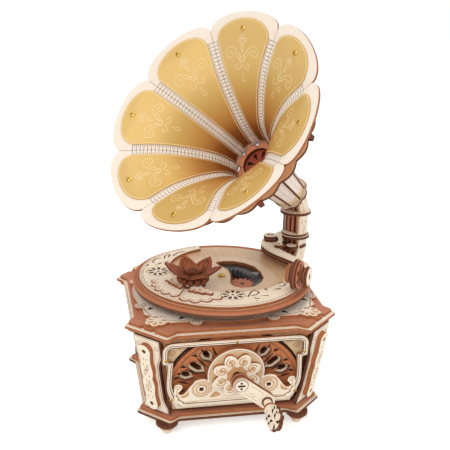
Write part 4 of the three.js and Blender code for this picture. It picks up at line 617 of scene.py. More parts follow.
def bend_petal(co):
    """From the flat pattern (across, along, up) to the horn's own frame."""
    step = 1.5
    y, l = along_petal(co.y)
    y1, l1 = along_petal(min(co.y + step, PETAL_LONG))
    y0, l0 = along_petal(max(co.y - step, PROFILE[0][0]))
    way = Vector((0, y1 - y0, l1 - l0)).normalized()
    inward = Vector((0, -way.z, way.y))
    return Vector((co.x, y, l)) + inward * co.z


# The bare strips beside the card at the rim and the throat, and the card: where its arch
# starts, how high it is, where the card ends, and how far its face stands off the sheet
STRIP_RIM, STRIP_THROAT = 6.2, 4.2
CARD_START, CARD_ARCH, CARD_END, CARD_FACE = 8.0, 11.6, PETAL_LONG - 7.0, 0.7
KERF_START, KERF_PITCH, KERF_END = 10.2, 1.65, 22.0


def strip_wide(s):
    return STRIP_RIM + (STRIP_THROAT - STRIP_RIM) * min(max(s / PETAL_LONG, 0), 1)


def petal_outline():
    side = [(half_wide(s) - SEAM_GAP, s) for s, _, _ in PROFILE[1:]][::-1]
    half = half_wide(0) - SEAM_GAP
    far = -PROFILE[0][0]
    rim = [(half * cos(a), -far * sin(a) ** 0.92) for a in [pi * i / 40 for i in range(41)]]
    return side + rim[1:-1] + [(-x, y) for x, y in reversed(side)]


def card_outline(inward=0.0, steps=26):
    side = []
    for i in range(steps + 1):
        s = CARD_END - inward + (CARD_START - CARD_END + inward) * i / steps
        side.append((half_wide(s) - strip_wide(s) - inward, s))
    half, high = side[-1][0], CARD_START + CARD_ARCH - inward
    arch = [(half * cos(a), CARD_START - high * sin(a) ** 0.9) for a in [pi * i / 36 for i in range(37)]]
    return side + arch[1:-1] + [(-x, y) for x, y in reversed(side)]


def kerfs():
    """Short cuts across the strips beside the card, which let the ply bend."""
    paths = []
    for i in range(int((PETAL_LONG - KERF_END) / KERF_PITCH)):
        s = KERF_START + KERF_PITCH * i
        slope = (half_wide(s + 1) - half_wide(s - 1)) / 2
        wide = strip_wide(s) + 0.4
        start = 0.5 if i % 2 else 0.0
        cut = [(half_wide(s) - SEAM_GAP - wide * t, s + slope * wide * t * 0.8) for t in (start, 1.0)]
        paths += [flipped(cut, 1), flipped(cut, -1)]
    return paths


def petal_ornament():
    """Closed and open lines of a scroll: a trefoil, a stem with volutes, a small pair, and a drop."""
    closed = [ring(x, y, 1.7, 14) for x, y in ((0, 5.4), (-2.9, 8.2), (2.9, 8.2))]
    closed += [leaf(0, 10.5, 8.5, 1.2, pi / 2, 8), drop(0, 36.0, 9.0, 1.7, pi / 2)]
    volute = ((0.6, 24.5), (3.2, 21.0), (6.4, 17.2), (10.2, 14.4), (14.4, 14.6), (17.2, 17.8), (17.0, 22.0),
              (13.8, 24.0), (10.8, 22.4), (10.6, 19.4), (12.8, 18.2), (14.2, 19.8))
    arm = ((0.4, 27.5), (3.4, 25.0), (6.4, 21.2), (9.0, 18.6))
    small = ((0.5, 30.0), (3.2, 33.6), (6.6, 34.0), (7.8, 31.6), (6.2, 30.0), (4.8, 31.2))
    stalk = ((1.6, 28.6), (2.2, 24.4), (1.6, 20.5))
    pairs = [[flipped(spread(path, 4), side) for path in pair] for pair in ((volute, arm), (small, stalk))
             for side in (1, -1)]
    return closed, [path for pair in pairs for path in pair]


def make_petal():
    """One petal with its card, drawn flat, cut across in narrow bands and bent to the profile."""
    petal = Piece("petal")
    petal.plate(petal_outline(), -SHEET, 0, (), "petal", "burnt")
    petal.plate(card_outline(), -0.2, CARD_FACE, (), "gold", "card_edge", soft=0.2)
    petal.lines([card_outline(1.3)], CARD_FACE, 0.5, "gold_line", closed=True)
    cuts = kerfs()
    petal.lines(cuts, 0, 0.46, "kerf")
    petal.lines(cuts, -SHEET, 0.4, "kerf")
    closed, open_lines = petal_ornament()
    petal.lines(closed, CARD_FACE, 0.5, "gold_line", closed=True)
    petal.lines(open_lines, CARD_FACE, 0.5, "gold_line")
    mesh = petal.mesh
    level, band = PROFILE[0][0] + 2, 2.4
    while level < PETAL_LONG - 1:
        whole = mesh.verts[:] + mesh.edges[:] + mesh.faces[:]
        bmesh.ops.bisect_plane(mesh, geom=whole, plane_co=(0, level, 0), plane_no=(0, 1, 0))
        level += band
    petal.screw(0, -2.2, CARD_FACE, 2.6)
    for v in petal.mesh.verts:
        v.co = bend_petal(v.co)
    return petal


def horn_petals():
    """Eight copies of one bent petal round the horn's axis."""
    pattern = make_petal()
    for k in range(SIDES):
        turn = FIRST_SEAM + HALF_SIDE + k * FULL / SIDES - pi / 2
        piece = Piece(f"petal_{k + 1}")
        piece.finishes = list(pattern.finishes)
        piece.take(pattern.mesh.copy(), HORN @ Matrix.Rotation(turn, 4, "Z"))
        piece.build("case", smooth=30)
    pattern.mesh.free()


def seam_gap_shade():
    """Dark cords in the gaps behind the seams: painted shade in the gaps."""
    piece = Piece("painted_seam_shade")
    behind = 1.5
    path = []
    for i, (l, r) in enumerate(SEAM):
        l0, r0 = SEAM[max(i - 1, 0)]
        l1, r1 = SEAM[min(i + 1, len(SEAM) - 1)]
        way = Vector((r1 - r0, l1 - l0)).normalized()
        path.append((r + way.y * behind, 0, l - way.x * behind))
    for k in range(SIDES):
        turn = FIRST_SEAM + k * FULL / SIDES
        piece.rods([path], 0.62, "hollow_shade", HORN @ Matrix.Rotation(turn, 4, "Z"))
    piece.build("case", added=True)


def scalloped_ring():
    """The ring plate that grips the petals from behind, with a tab at the middle of each."""
    piece = Piece("horn_ring")
    depth, lobes = 22.0, 24
    inner = next(r for l, r in SEAM if l >= depth) + SHEET + 3.6
    outline = turned(lobed(0, 0, 87.4, 3.4, lobes, 10), FIRST_SEAM - FULL / (2 * lobes))
    hole = turned(ring(0, 0, inner, SIDES), FIRST_SEAM)
    piece.plate(outline, depth, depth + PLY, [hole], "peach", place=HORN)
    for k in range(SIDES):
        tab = turned(box(3.2, 2.2, 88.4, 0), FIRST_SEAM + HALF_SIDE + k * FULL / SIDES)
        piece.plate(tab, depth - 1.2, depth + PLY + 2.2, face="red", place=HORN)
    piece.build("case")


def throat():
    """A red disc with drop slots, and eight scalloped lobes in front of it."""
    piece = Piece("throat_disc")
    depth = 88.4
    front = depth - 4.6
    slots = [turned(drop(5.2, 0, 9.2, 2.0, 0), FIRST_SEAM + HALF_SIDE * (2 * i + 1)) for i in range(SIDES)]
    piece.plate(turned(ring(0, 0, 23.4, SIDES), FIRST_SEAM), depth, depth + PLY, slots, "red", place=HORN)
    # A near-black disc behind the drop slots: painted shade of the throat seen through them
    piece.plate(ring(0, 0, 16.0), depth + PLY, depth + PLY + 0.3, (), "hollow_shade", "hollow_shade", HORN)
    lobes = turned(lobed(0, 0, 18.6, 4.4, SIDES, 12), FIRST_SEAM)
    piece.plate(lobes, front, front + PLY, [ring(0, 0, 15.4, 48)], "rose", place=HORN)
    # Dark lines between the lobes and round them: burnt edges, with painted shade of the gaps between and behind the
    # lobes
    splits = [turned([(15.6, 0), (18.6, 0)], FIRST_SEAM + k * FULL / SIDES) for k in range(SIDES)]
    piece.lines(splits, front, 0.7, "burnt_dark", HORN)
    piece.lines([inset(lobes, 0.7)], front, 0.6, "burnt_dark", HORN, closed=True)
    piece.build("case")


horn_petals()
seam_gap_shade()
scalloped_ring()
throat()

# ---- box: mouldings, feet and leaning walls ----

# The base's half sizes and chamfer, the heights of the plates, and how far the walls lean out
BASE_HALF_X, BASE_HALF_Y, BASE_CHAMFER, EAR_DEPTH, EAR_RUN = 84.9, 76.6, 26.0, 6.0, 11.0
BASE_LOW, WALL_LOW, WALL_TALL, WALL_FLARE = 11.7, 17.7, 78.0, 10.15
MOULD_LOW, TOP_LOW, DECK_LOW, DECK_HIGH = 95.7, 101.7, 104.7, 107.7
LEAN = atan(WALL_FLARE / WALL_TALL)
CORNER_LEAN = atan(WALL_FLARE * sqrt(2) / WALL_TALL)
PANEL_TALL, CORNER_TALL = WALL_TALL / cos(LEAN), WALL_TALL / cos(CORNER_LEAN)
CORNERS = {"front_left": (-1, -1), "front_right": (1, -1), "rear_left": (-1, 1), "rear_right": (1, 1)}
# A leaning wall stops this far short of the plates under and over it
LEVEL = 0.45


def ease(share):
    return share * share * (3 - 2 * share)


def ear_plan(grow, steps=8):
    """The box's plan: four chamfered ears joined by eased dips."""
    a, b = BASE_HALF_X + grow, BASE_HALF_Y + grow
    c = BASE_CHAMFER + grow * (2 - sqrt(2))
    shares = [i / steps for i in range(steps + 1)]
    side = [(a + EAR_DEPTH * (ease(t) - 1), b - c - EAR_RUN * (1 - t)) for t in shares]
    front = [(a - c - EAR_RUN * (1 - t), b + EAR_DEPTH * (ease(t) - 1)) for t in reversed(shares)]
    half = side + front
    half += mirrored(half)
    return half + [(-x, -y) for x, y in half]


def farthest(outline, x, y, angle):
    """How far along a ray from a place an outline's last crossing lies."""
    c, s = cos(angle), sin(angle)
    best = 0.0
    for (x0, y0), (x1, y1) in zip(outline, outline[1:] + outline[:1]):
        u0, v0 = (x0 - x) * c + (y0 - y) * s, (y0 - y) * c - (x0 - x) * s
        u1, v1 = (x1 - x) * c + (y1 - y) * s, (y1 - y) * c - (x1 - x) * s
        if (v0 < 0) != (v1 < 0):
            best = max(best, u0 + (u1 - u0) * v0 / (v0 - v1))
    return best


def merged(outlines, steps, x=0.0, y=0.0, pick=max):
    """One outline round several that all hold a place: their union, or with min their overlap."""
    points = []
    for i in range(steps):
        a = FULL * (i + 0.5) / steps
        r = pick(farthest(outline, x, y, a) for outline in outlines)
        points.append((x + r * cos(a), y + r * sin(a)))
    return points


def feet():
    """A pale tip under two discs, the upper one broad and dark."""
    tip = [(0, 0), (3.6, 0), (4.0, 0.5), (5.4, 5.5), (0, 5.5)]
    disc = [(0, 5.5), (6.8, 5.5), (7.2, 5.9), (7.2, 8.1), (6.8, 8.5), (0, 8.5)]
    pad = [(0, 8.5), (9.6, 8.5), (10, 8.9), (10, BASE_LOW), (0, BASE_LOW)]
    for where, (x, y) in CORNERS.items():
        piece = Piece(f"foot_{where}")
        for profile, finish in ((tip, "cream"), (disc, "brown"), (pad, "burnt_dark")):
            piece.lathe(profile, finish, place=Matrix.Translation((60 * x, 67 * y, 0)))
        piece.build("case")


def mouldings():
    """The edge plates under and over the walls; the pale ones have a line along the edge."""
    well = [ring(0, 0, 12)]
    for node, grow, low, holes, wood, edge, line in (
            ("base_plate", 0, BASE_LOW, [], "cream", "burnt_dark", 1.2),
            ("base_moulding", -2.6, BASE_LOW + PLY, [], "brown", "side_brown", None),
            ("under_moulding", WALL_FLARE - 3.2, MOULD_LOW, well, "brown", "side_brown", None),
            ("top_moulding", WALL_FLARE, MOULD_LOW + PLY, well, "cream", "side_brown", 1.1)):
        piece = Piece(node)
        piece.plate(ear_plan(grow), low, low + PLY, holes, wood, edge)
        if line:
            piece.lines([inset(ear_plan(grow), line)], low + PLY, 0.35, closed=True)
        piece.build("case")
    top_plate(well)


def top_plate(well):
    """The top plate has two small half-round notches in each corner's chamfer."""
    grow, notch, notch_apart = WALL_FLARE - 3.4, 2.2, 12
    piece = Piece("top_plate")
    half_x, half_y = BASE_HALF_X + grow, BASE_HALF_Y + grow
    chamfer = (BASE_CHAMFER + grow * (2 - sqrt(2))) / 2
    plan = ear_plan(grow)
    cuts = []
    for x, y in CORNERS.values():
        for end in (-1, 1):
            shift = end * notch_apart / 2 / sqrt(2)
            cuts.append((x * (half_x - chamfer + shift), y * (half_y - chamfer - shift)))
    outline = []
    for i, (x0, y0) in enumerate(plan):
        x1, y1 = plan[(i + 1) % len(plan)]
        long, way = hypot(x1 - x0, y1 - y0), atan2(y1 - y0, x1 - x0)
        outline.append((x0, y0))
        on_side = []
        for x, y in cuts:
            along = ((x - x0) * (x1 - x0) + (y - y0) * (y1 - y0)) / long
            off = ((x1 - x0) * (y - y0) - (y1 - y0) * (x - x0)) / long
            if 0 < along < long and abs(off) < 0.5:
                on_side.append((along, x, y))
        for _, x, y in sorted(on_side):
            outline += arc(x, y, notch, way + pi, way, 8)
    piece.plate(outline, TOP_LOW, DECK_LOW, well, "brown", "side_brown")
    piece.build("case")


# ---- front and side panels, drawn with x across, y up the slope and z outwards ----


def panel(turn, x, y, lean):
    foot = Matrix.Translation((x, y, WALL_LOW)) @ Matrix.Rotation(turn, 4, "Z")
    return foot @ Matrix.Rotation(pi / 2 + lean, 4, "X")


FRONT = panel(0, 0, EAR_DEPTH - BASE_HALF_Y, LEAN)
HUB = (60 - WALL_LOW) / cos(LEAN)
FAN_Y, FAN_RADIUS, ARCH_RADIUS = HUB - 24.8, 62.3, 25.5
# The outer faces of the front's layers
WALL_FACE, FAN_FACE, FRAME_FACE, PANEL_FACE, ROSETTE_FACE = -8.6, -5.3, -2.0, 1.3, 4.6
# The left one of the scroll panel's two eyes is this one's mirror image
EYE_X, EYE_Y = 30.4, 28.0


def wall_outline(half_low, half_top):
    high = PANEL_TALL - LEVEL
    return [(-half_low, LEVEL), (half_low, LEVEL), (half_top, high), (-half_top, high)]


def fan_spot(radius, turn):
    return radius * cos(radians(turn)), FAN_Y + radius * sin(radians(turn))


def fan_windows(half, grow=0.0):
    """Tear-drop windows of the fan, left and right."""
    outlines = []
    for turn, radius, reach in ((57.5, 47.3, 1.9), (39.5, 44.5, 3.7), (25.5, 47.8, 1.6)):
        bulb = arc(reach, 0, half, -pi / 2, pi / 2, 10)
        tip = [(-reach, half), (-reach - half - grow, 0), (-reach, -half)]
        window = turned(bulb + tip, radians(turn), *fan_spot(radius, turn))
        outlines += [window, mirrored(window)]
    return outlines


def front_wall():
    """The front's wall and its backing, with spirals in the top corners outside the fan."""
    piece = Piece("front_wall")
    holes = [ring(0, HUB, 8.5)] + fan_windows(2.6)
    piece.plate(wall_outline(54.6, 64.6), WALL_FACE - PLY, WALL_FACE, holes, "tan_ply", place=FRONT)
    piece.plate(wall_outline(58.4, 68.4), -14.4, -11.7, holes, "brown_up", place=FRONT)
    # A dark band just outside the fan's edge: painted shadow in the gap between the fan and the wall
    shadow = arc(0, FAN_Y, FAN_RADIUS + 1.0, radians(22), radians(158), 60)
    piece.lines([shadow], WALL_FACE, 2.2, "hollow_shade", FRONT)
    for side in (1, -1):
        spirals = [flipped(curl(x, y, r, radians(a), t, 0.2, 26), side) for x, y, r, a, t in
                   ((49.5, 70, 4.8, 200, 1.6), (55.5, 62, 3.4, 60, -1.5), (42, 74, 2.4, 0, 1.3))]
        piece.lines(spirals, WALL_FACE, 1.3, "tan", FRONT)
    piece.build("case")


def fan_fretwork():
    """The fan's sheet: windows lined in cream, gores between them, and near-black slits of painted shade."""
    piece = Piece("fan_fretwork")
    above_scrolls = box(200, PANEL_TALL / 2 - 4 - LEVEL, 0, PANEL_TALL / 2 + 4)
    bounds = [ring(0, FAN_Y, FAN_RADIUS, 160), wall_outline(54.3, 64.3), above_scrolls]
    outline = merged(bounds, 360, 0, 40, min)
    gores = []
    for turn in (49.5, 34, 20.5):
        gore = turned([(-3.6, 0), (1.6, -3.0), (1.0, 0), (1.6, 3.0)], radians(turn), *fan_spot(55.9, turn))
        gores += [gore, mirrored(gore)]
    slots = [box(4.2, 0.7, side * 17.5, 71.5) for side in (1, -1)]
    windows = fan_windows(4.9, 1.4)
    holes = [ring(0, HUB, ARCH_RADIUS - PLY)] + windows + gores + slots
    piece.plate(outline, FAN_FACE - PLY, FAN_FACE, holes, "orange", place=FRONT)
    for around in fan_windows(5.7, 2.0):
        piece.lines([around], FAN_FACE, 0.7, "kerf", FRONT, closed=True)
    piece.lines([arc(0, FAN_Y, 58.6, radians(8), radians(172), 70)], FAN_FACE, 0.7, "kerf", FRONT)
    # The slits are near-black skins: painted shade in narrow cuts
    for turn, inner, long in ((67, 40, 15), (48.8, 37, 16), (32.4, 38, 15), (17, 42, 12), (57.5, 52.5, 5),
                              (25.5, 52.5, 5)):
        slit = leaf(*fan_spot(inner, turn), long, 1.0, radians(turn), 6)
        for cut in (slit, mirrored(slit)):
            piece.inlay(cut, FAN_FACE, "hollow_shade", FRONT)
    low = WALL_FACE + PROUD
    for window in windows:
        lining, hole = inset(window, -0.2), inset(window, 1.4)
        piece.plate(lining, low, low + 0.2, [hole], "cream_up", "cream_up", FRONT, 0)
    piece.build("case")


def frame_outline(inward):
    """The shouldered frame's edge: round at the top, hooked at the sides and stepped at the foot."""
    top, low = PANEL_TALL - 3.2 - inward, 6.2 + inward
    half_top, half_low, corner = 64.6 - inward, 59.6 - inward, 9 - inward
    hook = PANEL_TALL - 26 + inward / 2
    right = [(half_low - 8, low), (half_low - 5, low + 5), (half_low - 2.5, low + 10)]
    right += spread([(half_low - 2.5, low + 10), (half_low + 1, (low + hook) / 2), (half_top - 5, hook)], 4)[1:]
    right += [(half_top - 4.4, hook + 1.2), (half_top - 1, hook + 1.6), (half_top, hook + 3)]
    right += arc(half_top - corner, top - corner, corner, 0, pi / 2, 12)
    return right + mirrored(right)


def front_frame():
    """The frame with its three engraved lines and five screws."""
    piece = Piece("front_frame")
    piece.plate(frame_outline(0), FRAME_FACE - PLY, FRAME_FACE, [frame_outline(4.6)], "cream_up", "burnt", FRONT)
    for inward, width, finish in ((2.6, 0.75, "kerf"), (4.2, 0.75, "kerf"), (0.8, 0.3, "engraved")):
        piece.lines([frame_outline(inward)], FRAME_FACE, width, finish, FRONT, closed=True)
    for x, y in ((0, PANEL_TALL - 5.4), (56.5, 16.0), (-56.5, 16.0), (61.8, 58.5), (-61.8, 58.5)):
        piece.screw(x, y, FRAME_FACE, 1.5, FRONT)
    piece.build("case")


# The middle of the scroll's curled tip
TIP_X, TIP_Y = 51.0, 31.4


def scroll_outline():
    """The scroll panel's edge: a low foot, a curled tip, an eye and the arch over the crank."""
    floor = 11.1
    right = [(0, floor), (47, floor)]
    right += spread([(47, floor), (51.6, 14.5), (54.2, 20), (54.6, TIP_Y)], 5)[1:-1]
    right += arc(TIP_X, TIP_Y, 3.6, 0, radians(235), 12)
    right += spread([(49.6, 27.2), (51.2, 25.4), (48.6, 23.4), (45, 25.0), (40.4, 31.6), (36.6, 36.4)], 5)
    right += arc(EYE_X, EYE_Y, 10.8, radians(50), radians(120), 8)
    right += arc(0, HUB, ARCH_RADIUS, radians(-12), radians(90), 24)
    return right[:-1] + mirrored(right)[:-1]


def scroll_panel():
    """The engraved panel under the frame: a band round the arch, and scrolls on both sides."""
    piece = Piece("scroll_panel")
    eyes = [turned(box(1.9, 1.9), radians(8) * side, side * EYE_X, EYE_Y) for side in (1, -1)]
    holes = [ring(0, HUB, 5.5)] + eyes
    piece.plate(scroll_outline(), PANEL_FACE - PLY, PANEL_FACE, holes, "cream", "burnt", FRONT)
    low, high = radians(-24), radians(204)
    band = arc(0, HUB, 23.4, low, high, 50) + arc(0, HUB, 16.8, high, low, 40)
    piece.inlay(band, PANEL_FACE, "field", FRONT)
    piece.lines([arc(0, HUB, 23.9, low, high, 50)], PANEL_FACE, 0.4, "engraved_deep", FRONT)
    eye_spiral = curl(EYE_X, EYE_Y, 9.2, radians(205), -2.4, 5.8 / 9.2, 60)
    rising = spread([(33.5, 15.2), (40, 14.2), (46, 15.6), (50.6, 20), (52.2, 26), (51.6, 31)], 5)
    tip_spiral = curl(TIP_X, TIP_Y, 2.5, radians(-20), 1.15, 0.25, 20)
    leaf_field = [(42.5, 21.6), (46.5, 20.2), (49.8, 21.6), (47.4, 22.4), (43.6, 24.6), (41.6, 27.8), (41.4, 24)]
    wedge = [(13.5, 20.6), (22.6, 18.6), (18.6, 24.6), (15.2, 23.4)]
    for side in (1, -1):
        flip = FRONT @ Matrix.Scale(side, 4, (1, 0, 0))
        piece.lines([eye_spiral], PANEL_FACE, 0.9, "tan", flip)
        piece.inlay(ring(EYE_X, EYE_Y, 5.2, 32), PANEL_FACE, "tan", flip, [ring(EYE_X, EYE_Y, 3.9, 32)])
        piece.inlay(spread(leaf_field, 4, True), PANEL_FACE, "tan", flip)
        piece.lines([rising], PANEL_FACE, 0.8, "tan", flip)
        piece.lines([tip_spiral], PANEL_FACE, 0.8, "tan", flip)
        piece.inlay(spread(wedge, 4, True), PANEL_FACE, "tan", flip)
    foot_line = [(53.2, 24), (50.8, 20.5), (50.8, 17.6), (47.4, 16.4), (45.6, 13.6)]
    piece.lines([foot_line + mirrored(foot_line)], PANEL_FACE, 0.9, "kerf", FRONT)
    piece.lines([[(-43, 15.6), (43, 15.6)]], PANEL_FACE, 0.5, "tan", FRONT)
    piece.build("case")


def crank_rosette():
    """The eight-lobed plate round the crank's shaft, with a curl and a drop on each lobe."""
    piece = Piece("crank_rosette")
    lobes = 8
    outline = lobed(0, HUB, 16, 6.4, lobes, 12)
    piece.plate(outline, ROSETTE_FACE - PLY, ROSETTE_FACE, [ring(0, HUB, 3.9)], "cream", "burnt", FRONT)
    for k in range(lobes):
        way = FULL * (k + 0.5) / lobes
        swirl = curl(14.6 * cos(way), HUB + 14.6 * sin(way), 4.7, way, 1.3, 0.35, 26)
        piece.lines([swirl], ROSETTE_FACE, 1.1, "tan", FRONT)
        piece.inlay(drop(8.2 * cos(way), HUB + 8.2 * sin(way), 8.2, 1.5, way), ROSETTE_FACE, "tan", FRONT)
    piece.inlay(lobed(0, HUB, 8.2, 1.6, lobes, 6), ROSETTE_FACE, "tan", FRONT, [ring(0, HUB, 4.0)])
    piece.build("case")


def side_walls():
    """Three slotted walls, each with a brown backing and a small curl over and under each slot."""
    face = -PLY
    back = face - PLY - 0.1
    slot_ways = [17 * (i - 2) for i in range(5)]
    slots = [pill(x, 20, x, 56, 3, 8) for x in slot_ways]
    for name, turn, x, y, low, top in (("left_wall", -pi / 2, EAR_DEPTH - BASE_HALF_X, 0, 45, 55),
                                       ("right_wall", pi / 2, BASE_HALF_X - EAR_DEPTH, 0, 45, 55),
                                       ("rear_wall", pi, 0, BASE_HALF_Y - EAR_DEPTH, 56, 66)):
        place = panel(turn, x, y, LEAN)
        piece = Piece(name)
        piece.plate(wall_outline(low, top), face - PLY, face, slots, "cream_up", "burnt", place)
        piece.plate(wall_outline(low + 4, top + 4), back - 2.7, back, slots, "brown_up", place=place)
        piece.lines([pill(x, 20, x, 56, 4.4, 8) for x in slot_ways], face, 0.4, place=place, closed=True)
        right = [(low - 4, 5), (top - 5, PANEL_TALL - 5)]
        piece.lines([right + mirrored(right)], face, 0.5, "engraved_deep", place, closed=True)
        for x in slot_ways:
            over = curl(x, 66.5, 3.4, radians(250), 1.4, 0.2, 22)
            under = curl(x, 10.6, 2.6, radians(70), 1.3, 0.2, 20)
            piece.lines([over, under], face, place=place)
        piece.build("case")


def pilasters():
    """The corner posts: a waisted back plate, and a strip with an eye at each end."""
    top, back_face, eye_half, strip_half = CORNER_TALL, -5, 2.0, 6.6
    half = [(14, LEVEL), (13.4, 6), (10.2, 14), (9.6, 20), (9.6, top - 34), (10.4, top - 26),
            (13.4, top - 19), (14, top - LEVEL)]
    side = [half[0]] + spread(half[1:-1], 5) + [half[-1]]
    low = 5 + strip_half
    for where, (x, y) in CORNERS.items():
        turn = pi / 4 * ((3 if x > 0 else 5) if y > 0 else (1 if x > 0 else -1))
        place = panel(turn, x * (BASE_HALF_X - BASE_CHAMFER / 2), y * (BASE_HALF_Y - BASE_CHAMFER / 2), CORNER_LEAN)
        piece = Piece(f"pilaster_{where}")
        piece.plate(side + mirrored(side), back_face - PLY, back_face, face="cream_up", place=place)
        piece.lines([inset(side + mirrored(side), 1.0)], back_face, 0.7, "engraved_deep", place, closed=True)
        eyes = [ring(0, low, eye_half, 20), ring(0, top - low, eye_half, 20)]
        waist = [(strip_half, low), (5.4, low + 10), (6.5, top / 2 - 7), (5.2, top / 2), (6.5, top / 2 + 7),
                 (5.4, top - low - 10), (strip_half, top - low)]
        edge = spread(waist, 8)[1:-1]
        strip = arc(0, low, strip_half, pi, FULL, 14) + edge + arc(0, top - low, strip_half, 0, pi, 14)
        piece.plate(strip + mirrored(edge), back_face, 0, eyes, "cream_up", "side_brown", place, soft=0.3)
        # Near-black plugs in the eyes and near-black dots: painted shade in holes
        for eye in eyes:
            piece.plate(eye, back_face + 0.1, back_face + 2.4, (), "hollow_shade", "hollow_shade", place, 0)
        dots = [low + 8 + (top - 2 * low - 16) * i / 7 for i in range(8)]
        for i, spot in enumerate(dots):
            for across in (2.4, -2.4):
                piece.inlay(ring(across * (0.6 if i % 2 else 1), spot, 0.62, 10), 0, "hollow_shade", place)
        for mid in (dots[2], dots[5]):
            bends = [curl(s * 1.2, mid + s * 3.2, 2.6, radians(90 + 90 * s), 1.1, 0.25, 18) for s in (1, -1)]
            piece.lines(bends + [[(-1.4, mid - 4), (1.4, mid + 4)]], 0, 0.4, "engraved", place)
        flare = [curl(s * 10.6, top - 9, 2.4, radians(90), s * 1.2, 0.2, 18) for s in (1, -1)]
        piece.lines(flare, back_face, 0.4, "engraved_deep", place)
        piece.build("case")


feet()
mouldings()
front_wall()
fan_fretwork()
front_frame()
scroll_panel()
crank_rosette()
side_walls()
pilasters()

# ---- deck ring under the turntable ----


# Where the four-leaved corner sprays start, and the round ends of the long sides
SPRAY_X, SPRAY_Y = 66.0, 59.5
SPRAY_WAYS = [(k * radians(36), abs(k) > 1) for k in (-1.5, -0.5, 0.5, 1.5)]
DECK_ENDS = ((34, 68), (78.5, 28))
SPRAYLESS = (1, 1)


def deck_outline(inward=0.0):
    """Two ovals' common part, with round ends and a spray of leaves at each corner but the column's."""
    oval, front = [[(half_x * cos(a), half_y * sin(a)) for a in [FULL * i / 160 for i in range(160)]]
                   for half_x, half_y in ((83.5, 86), (86, 71))]
    body = merged([oval, front], 240, pick=min)
    wide, deep = 77.5 - inward, 67 - inward
    corner = []
    for x, y in CORNERS.values():
        if (x, y) != SPRAYLESS:
            for turn, outer in SPRAY_WAYS:
                a, reach = atan2(y, x) + turn, 7.6 if outer else 10.2
                start, end = [(x * SPRAY_X + far * cos(a), y * SPRAY_Y + far * sin(a)) for far in (2, reach)]
                corner.append(pill(*start, *end, 3.3 - inward, 12))
        corner.append([(x * px, y * py) for px, py in ((0, 0), (0, deep), (57, deep), (wide, 47), (wide, 0))])
    ends = [ring(x * px, y * py, 5.6 - inward, 28) for x, y in CORNERS.values() for px, py in DECK_ENDS]
    swell = [[(px - inward * cos(atan2(py, px)), py - inward * sin(atan2(py, px))) for px, py in body]]
    return merged(swell + corner + ends, 720)


def deck_ring():
    """The ring round the turntable's well, engraved with curls and stems, with near-black arrow heads of painted
    shade.
    """
    piece = Piece("deck_ring")
    holes = [ring(0, 0, 48.3, 96)]
    for x, y in CORNERS.values():
        holes += [ring(x * 60.5, y * 56.5, 0.9, 12), ring(x * 63.2, y * 54, 0.9, 12)]
    # The deck's face is a paler copy of the cream ply: painted light against the shade of the turntable over it
    piece.plate(deck_outline(), DECK_LOW, DECK_HIGH, holes, "pale_and_lit_ply", "side_brown")
    piece.lines([deck_outline(1.1)], DECK_HIGH, 0.5, "tan", closed=True)
    for x, y in CORNERS.values():
        flip = Matrix.Diagonal((x, y, 1, 1))
        spirals = [curl(*spot, 4.6, radians(start), turns, 0.15)
                   for spot, start, turns in zip(DECK_ENDS, (200, 250), (1.6, -1.6))]
        stems = [spread(path, 5) for path in (((38.5, 66.5), (46, 64.6), (54, 63.2), (60, 61)),
                                              ((77, 33), (74.8, 42), (72.4, 50), (69, 56)))]
        piece.lines(spirals + stems, DECK_HIGH, 0.9, place=flip)
        if (x, y) != SPRAYLESS:
            for turn, outer in SPRAY_WAYS:
                a = pi / 4 + turn
                slot = drop(SPRAY_X + 3.2 * cos(a), SPRAY_Y + 3.2 * sin(a), 5.6 if outer else 8.0, 1.7, a)
                piece.inlay(slot, DECK_HIGH, "tan", flip)
            curls = [curl(*spot, 2.0, radians(start), turns, 0.2, 18)
                     for *spot, start, turns in ((61.5, 61.6, -60, 1.2), (67.4, 54.0, 150, -1.2))]
            piece.lines(curls, DECK_HIGH, 0.9, place=flip)
        # Near-black triangles: painted shade in cut-out arrow heads
        for spot in ((71.8, 37), (47, 60)):
            piece.inlay(turned([(-3.4, -2.4), (3.2, 0), (-3.4, 2.4)], pi / 4, *spot), DECK_HIGH, "hollow_shade", flip)
    piece.build("case")


deck_ring()

# ---- turntable: ribbed disc, record, crescent and leaf ornament ----

TABLE_LOW, RECORD_LOW, RECORD_HIGH, CRESCENT_HIGH, LEAF_HIGH = 115.0, 117.8, 120.5, 123.5, 126.5
RECORD_RADIUS, CRESCENT_RADIUS = 77.2, 76.8
RIM_HIGH = RECORD_HIGH + 0.1
# The kidney-shaped window through the disc and the record
WINDOW = spread([(19 + 34 * a, 4 + 34 * b) for a, b in (
    (-0.53, 0.93), (0, 0.94), (0.5, 0.45), (0.57, -0.4), (0.23, -0.93), (-0.2, -1), (-0.42, -0.72), (-0.32, -0.2),
    (-0.3, 0.3), (-0.45, 0.6))], 2, True)
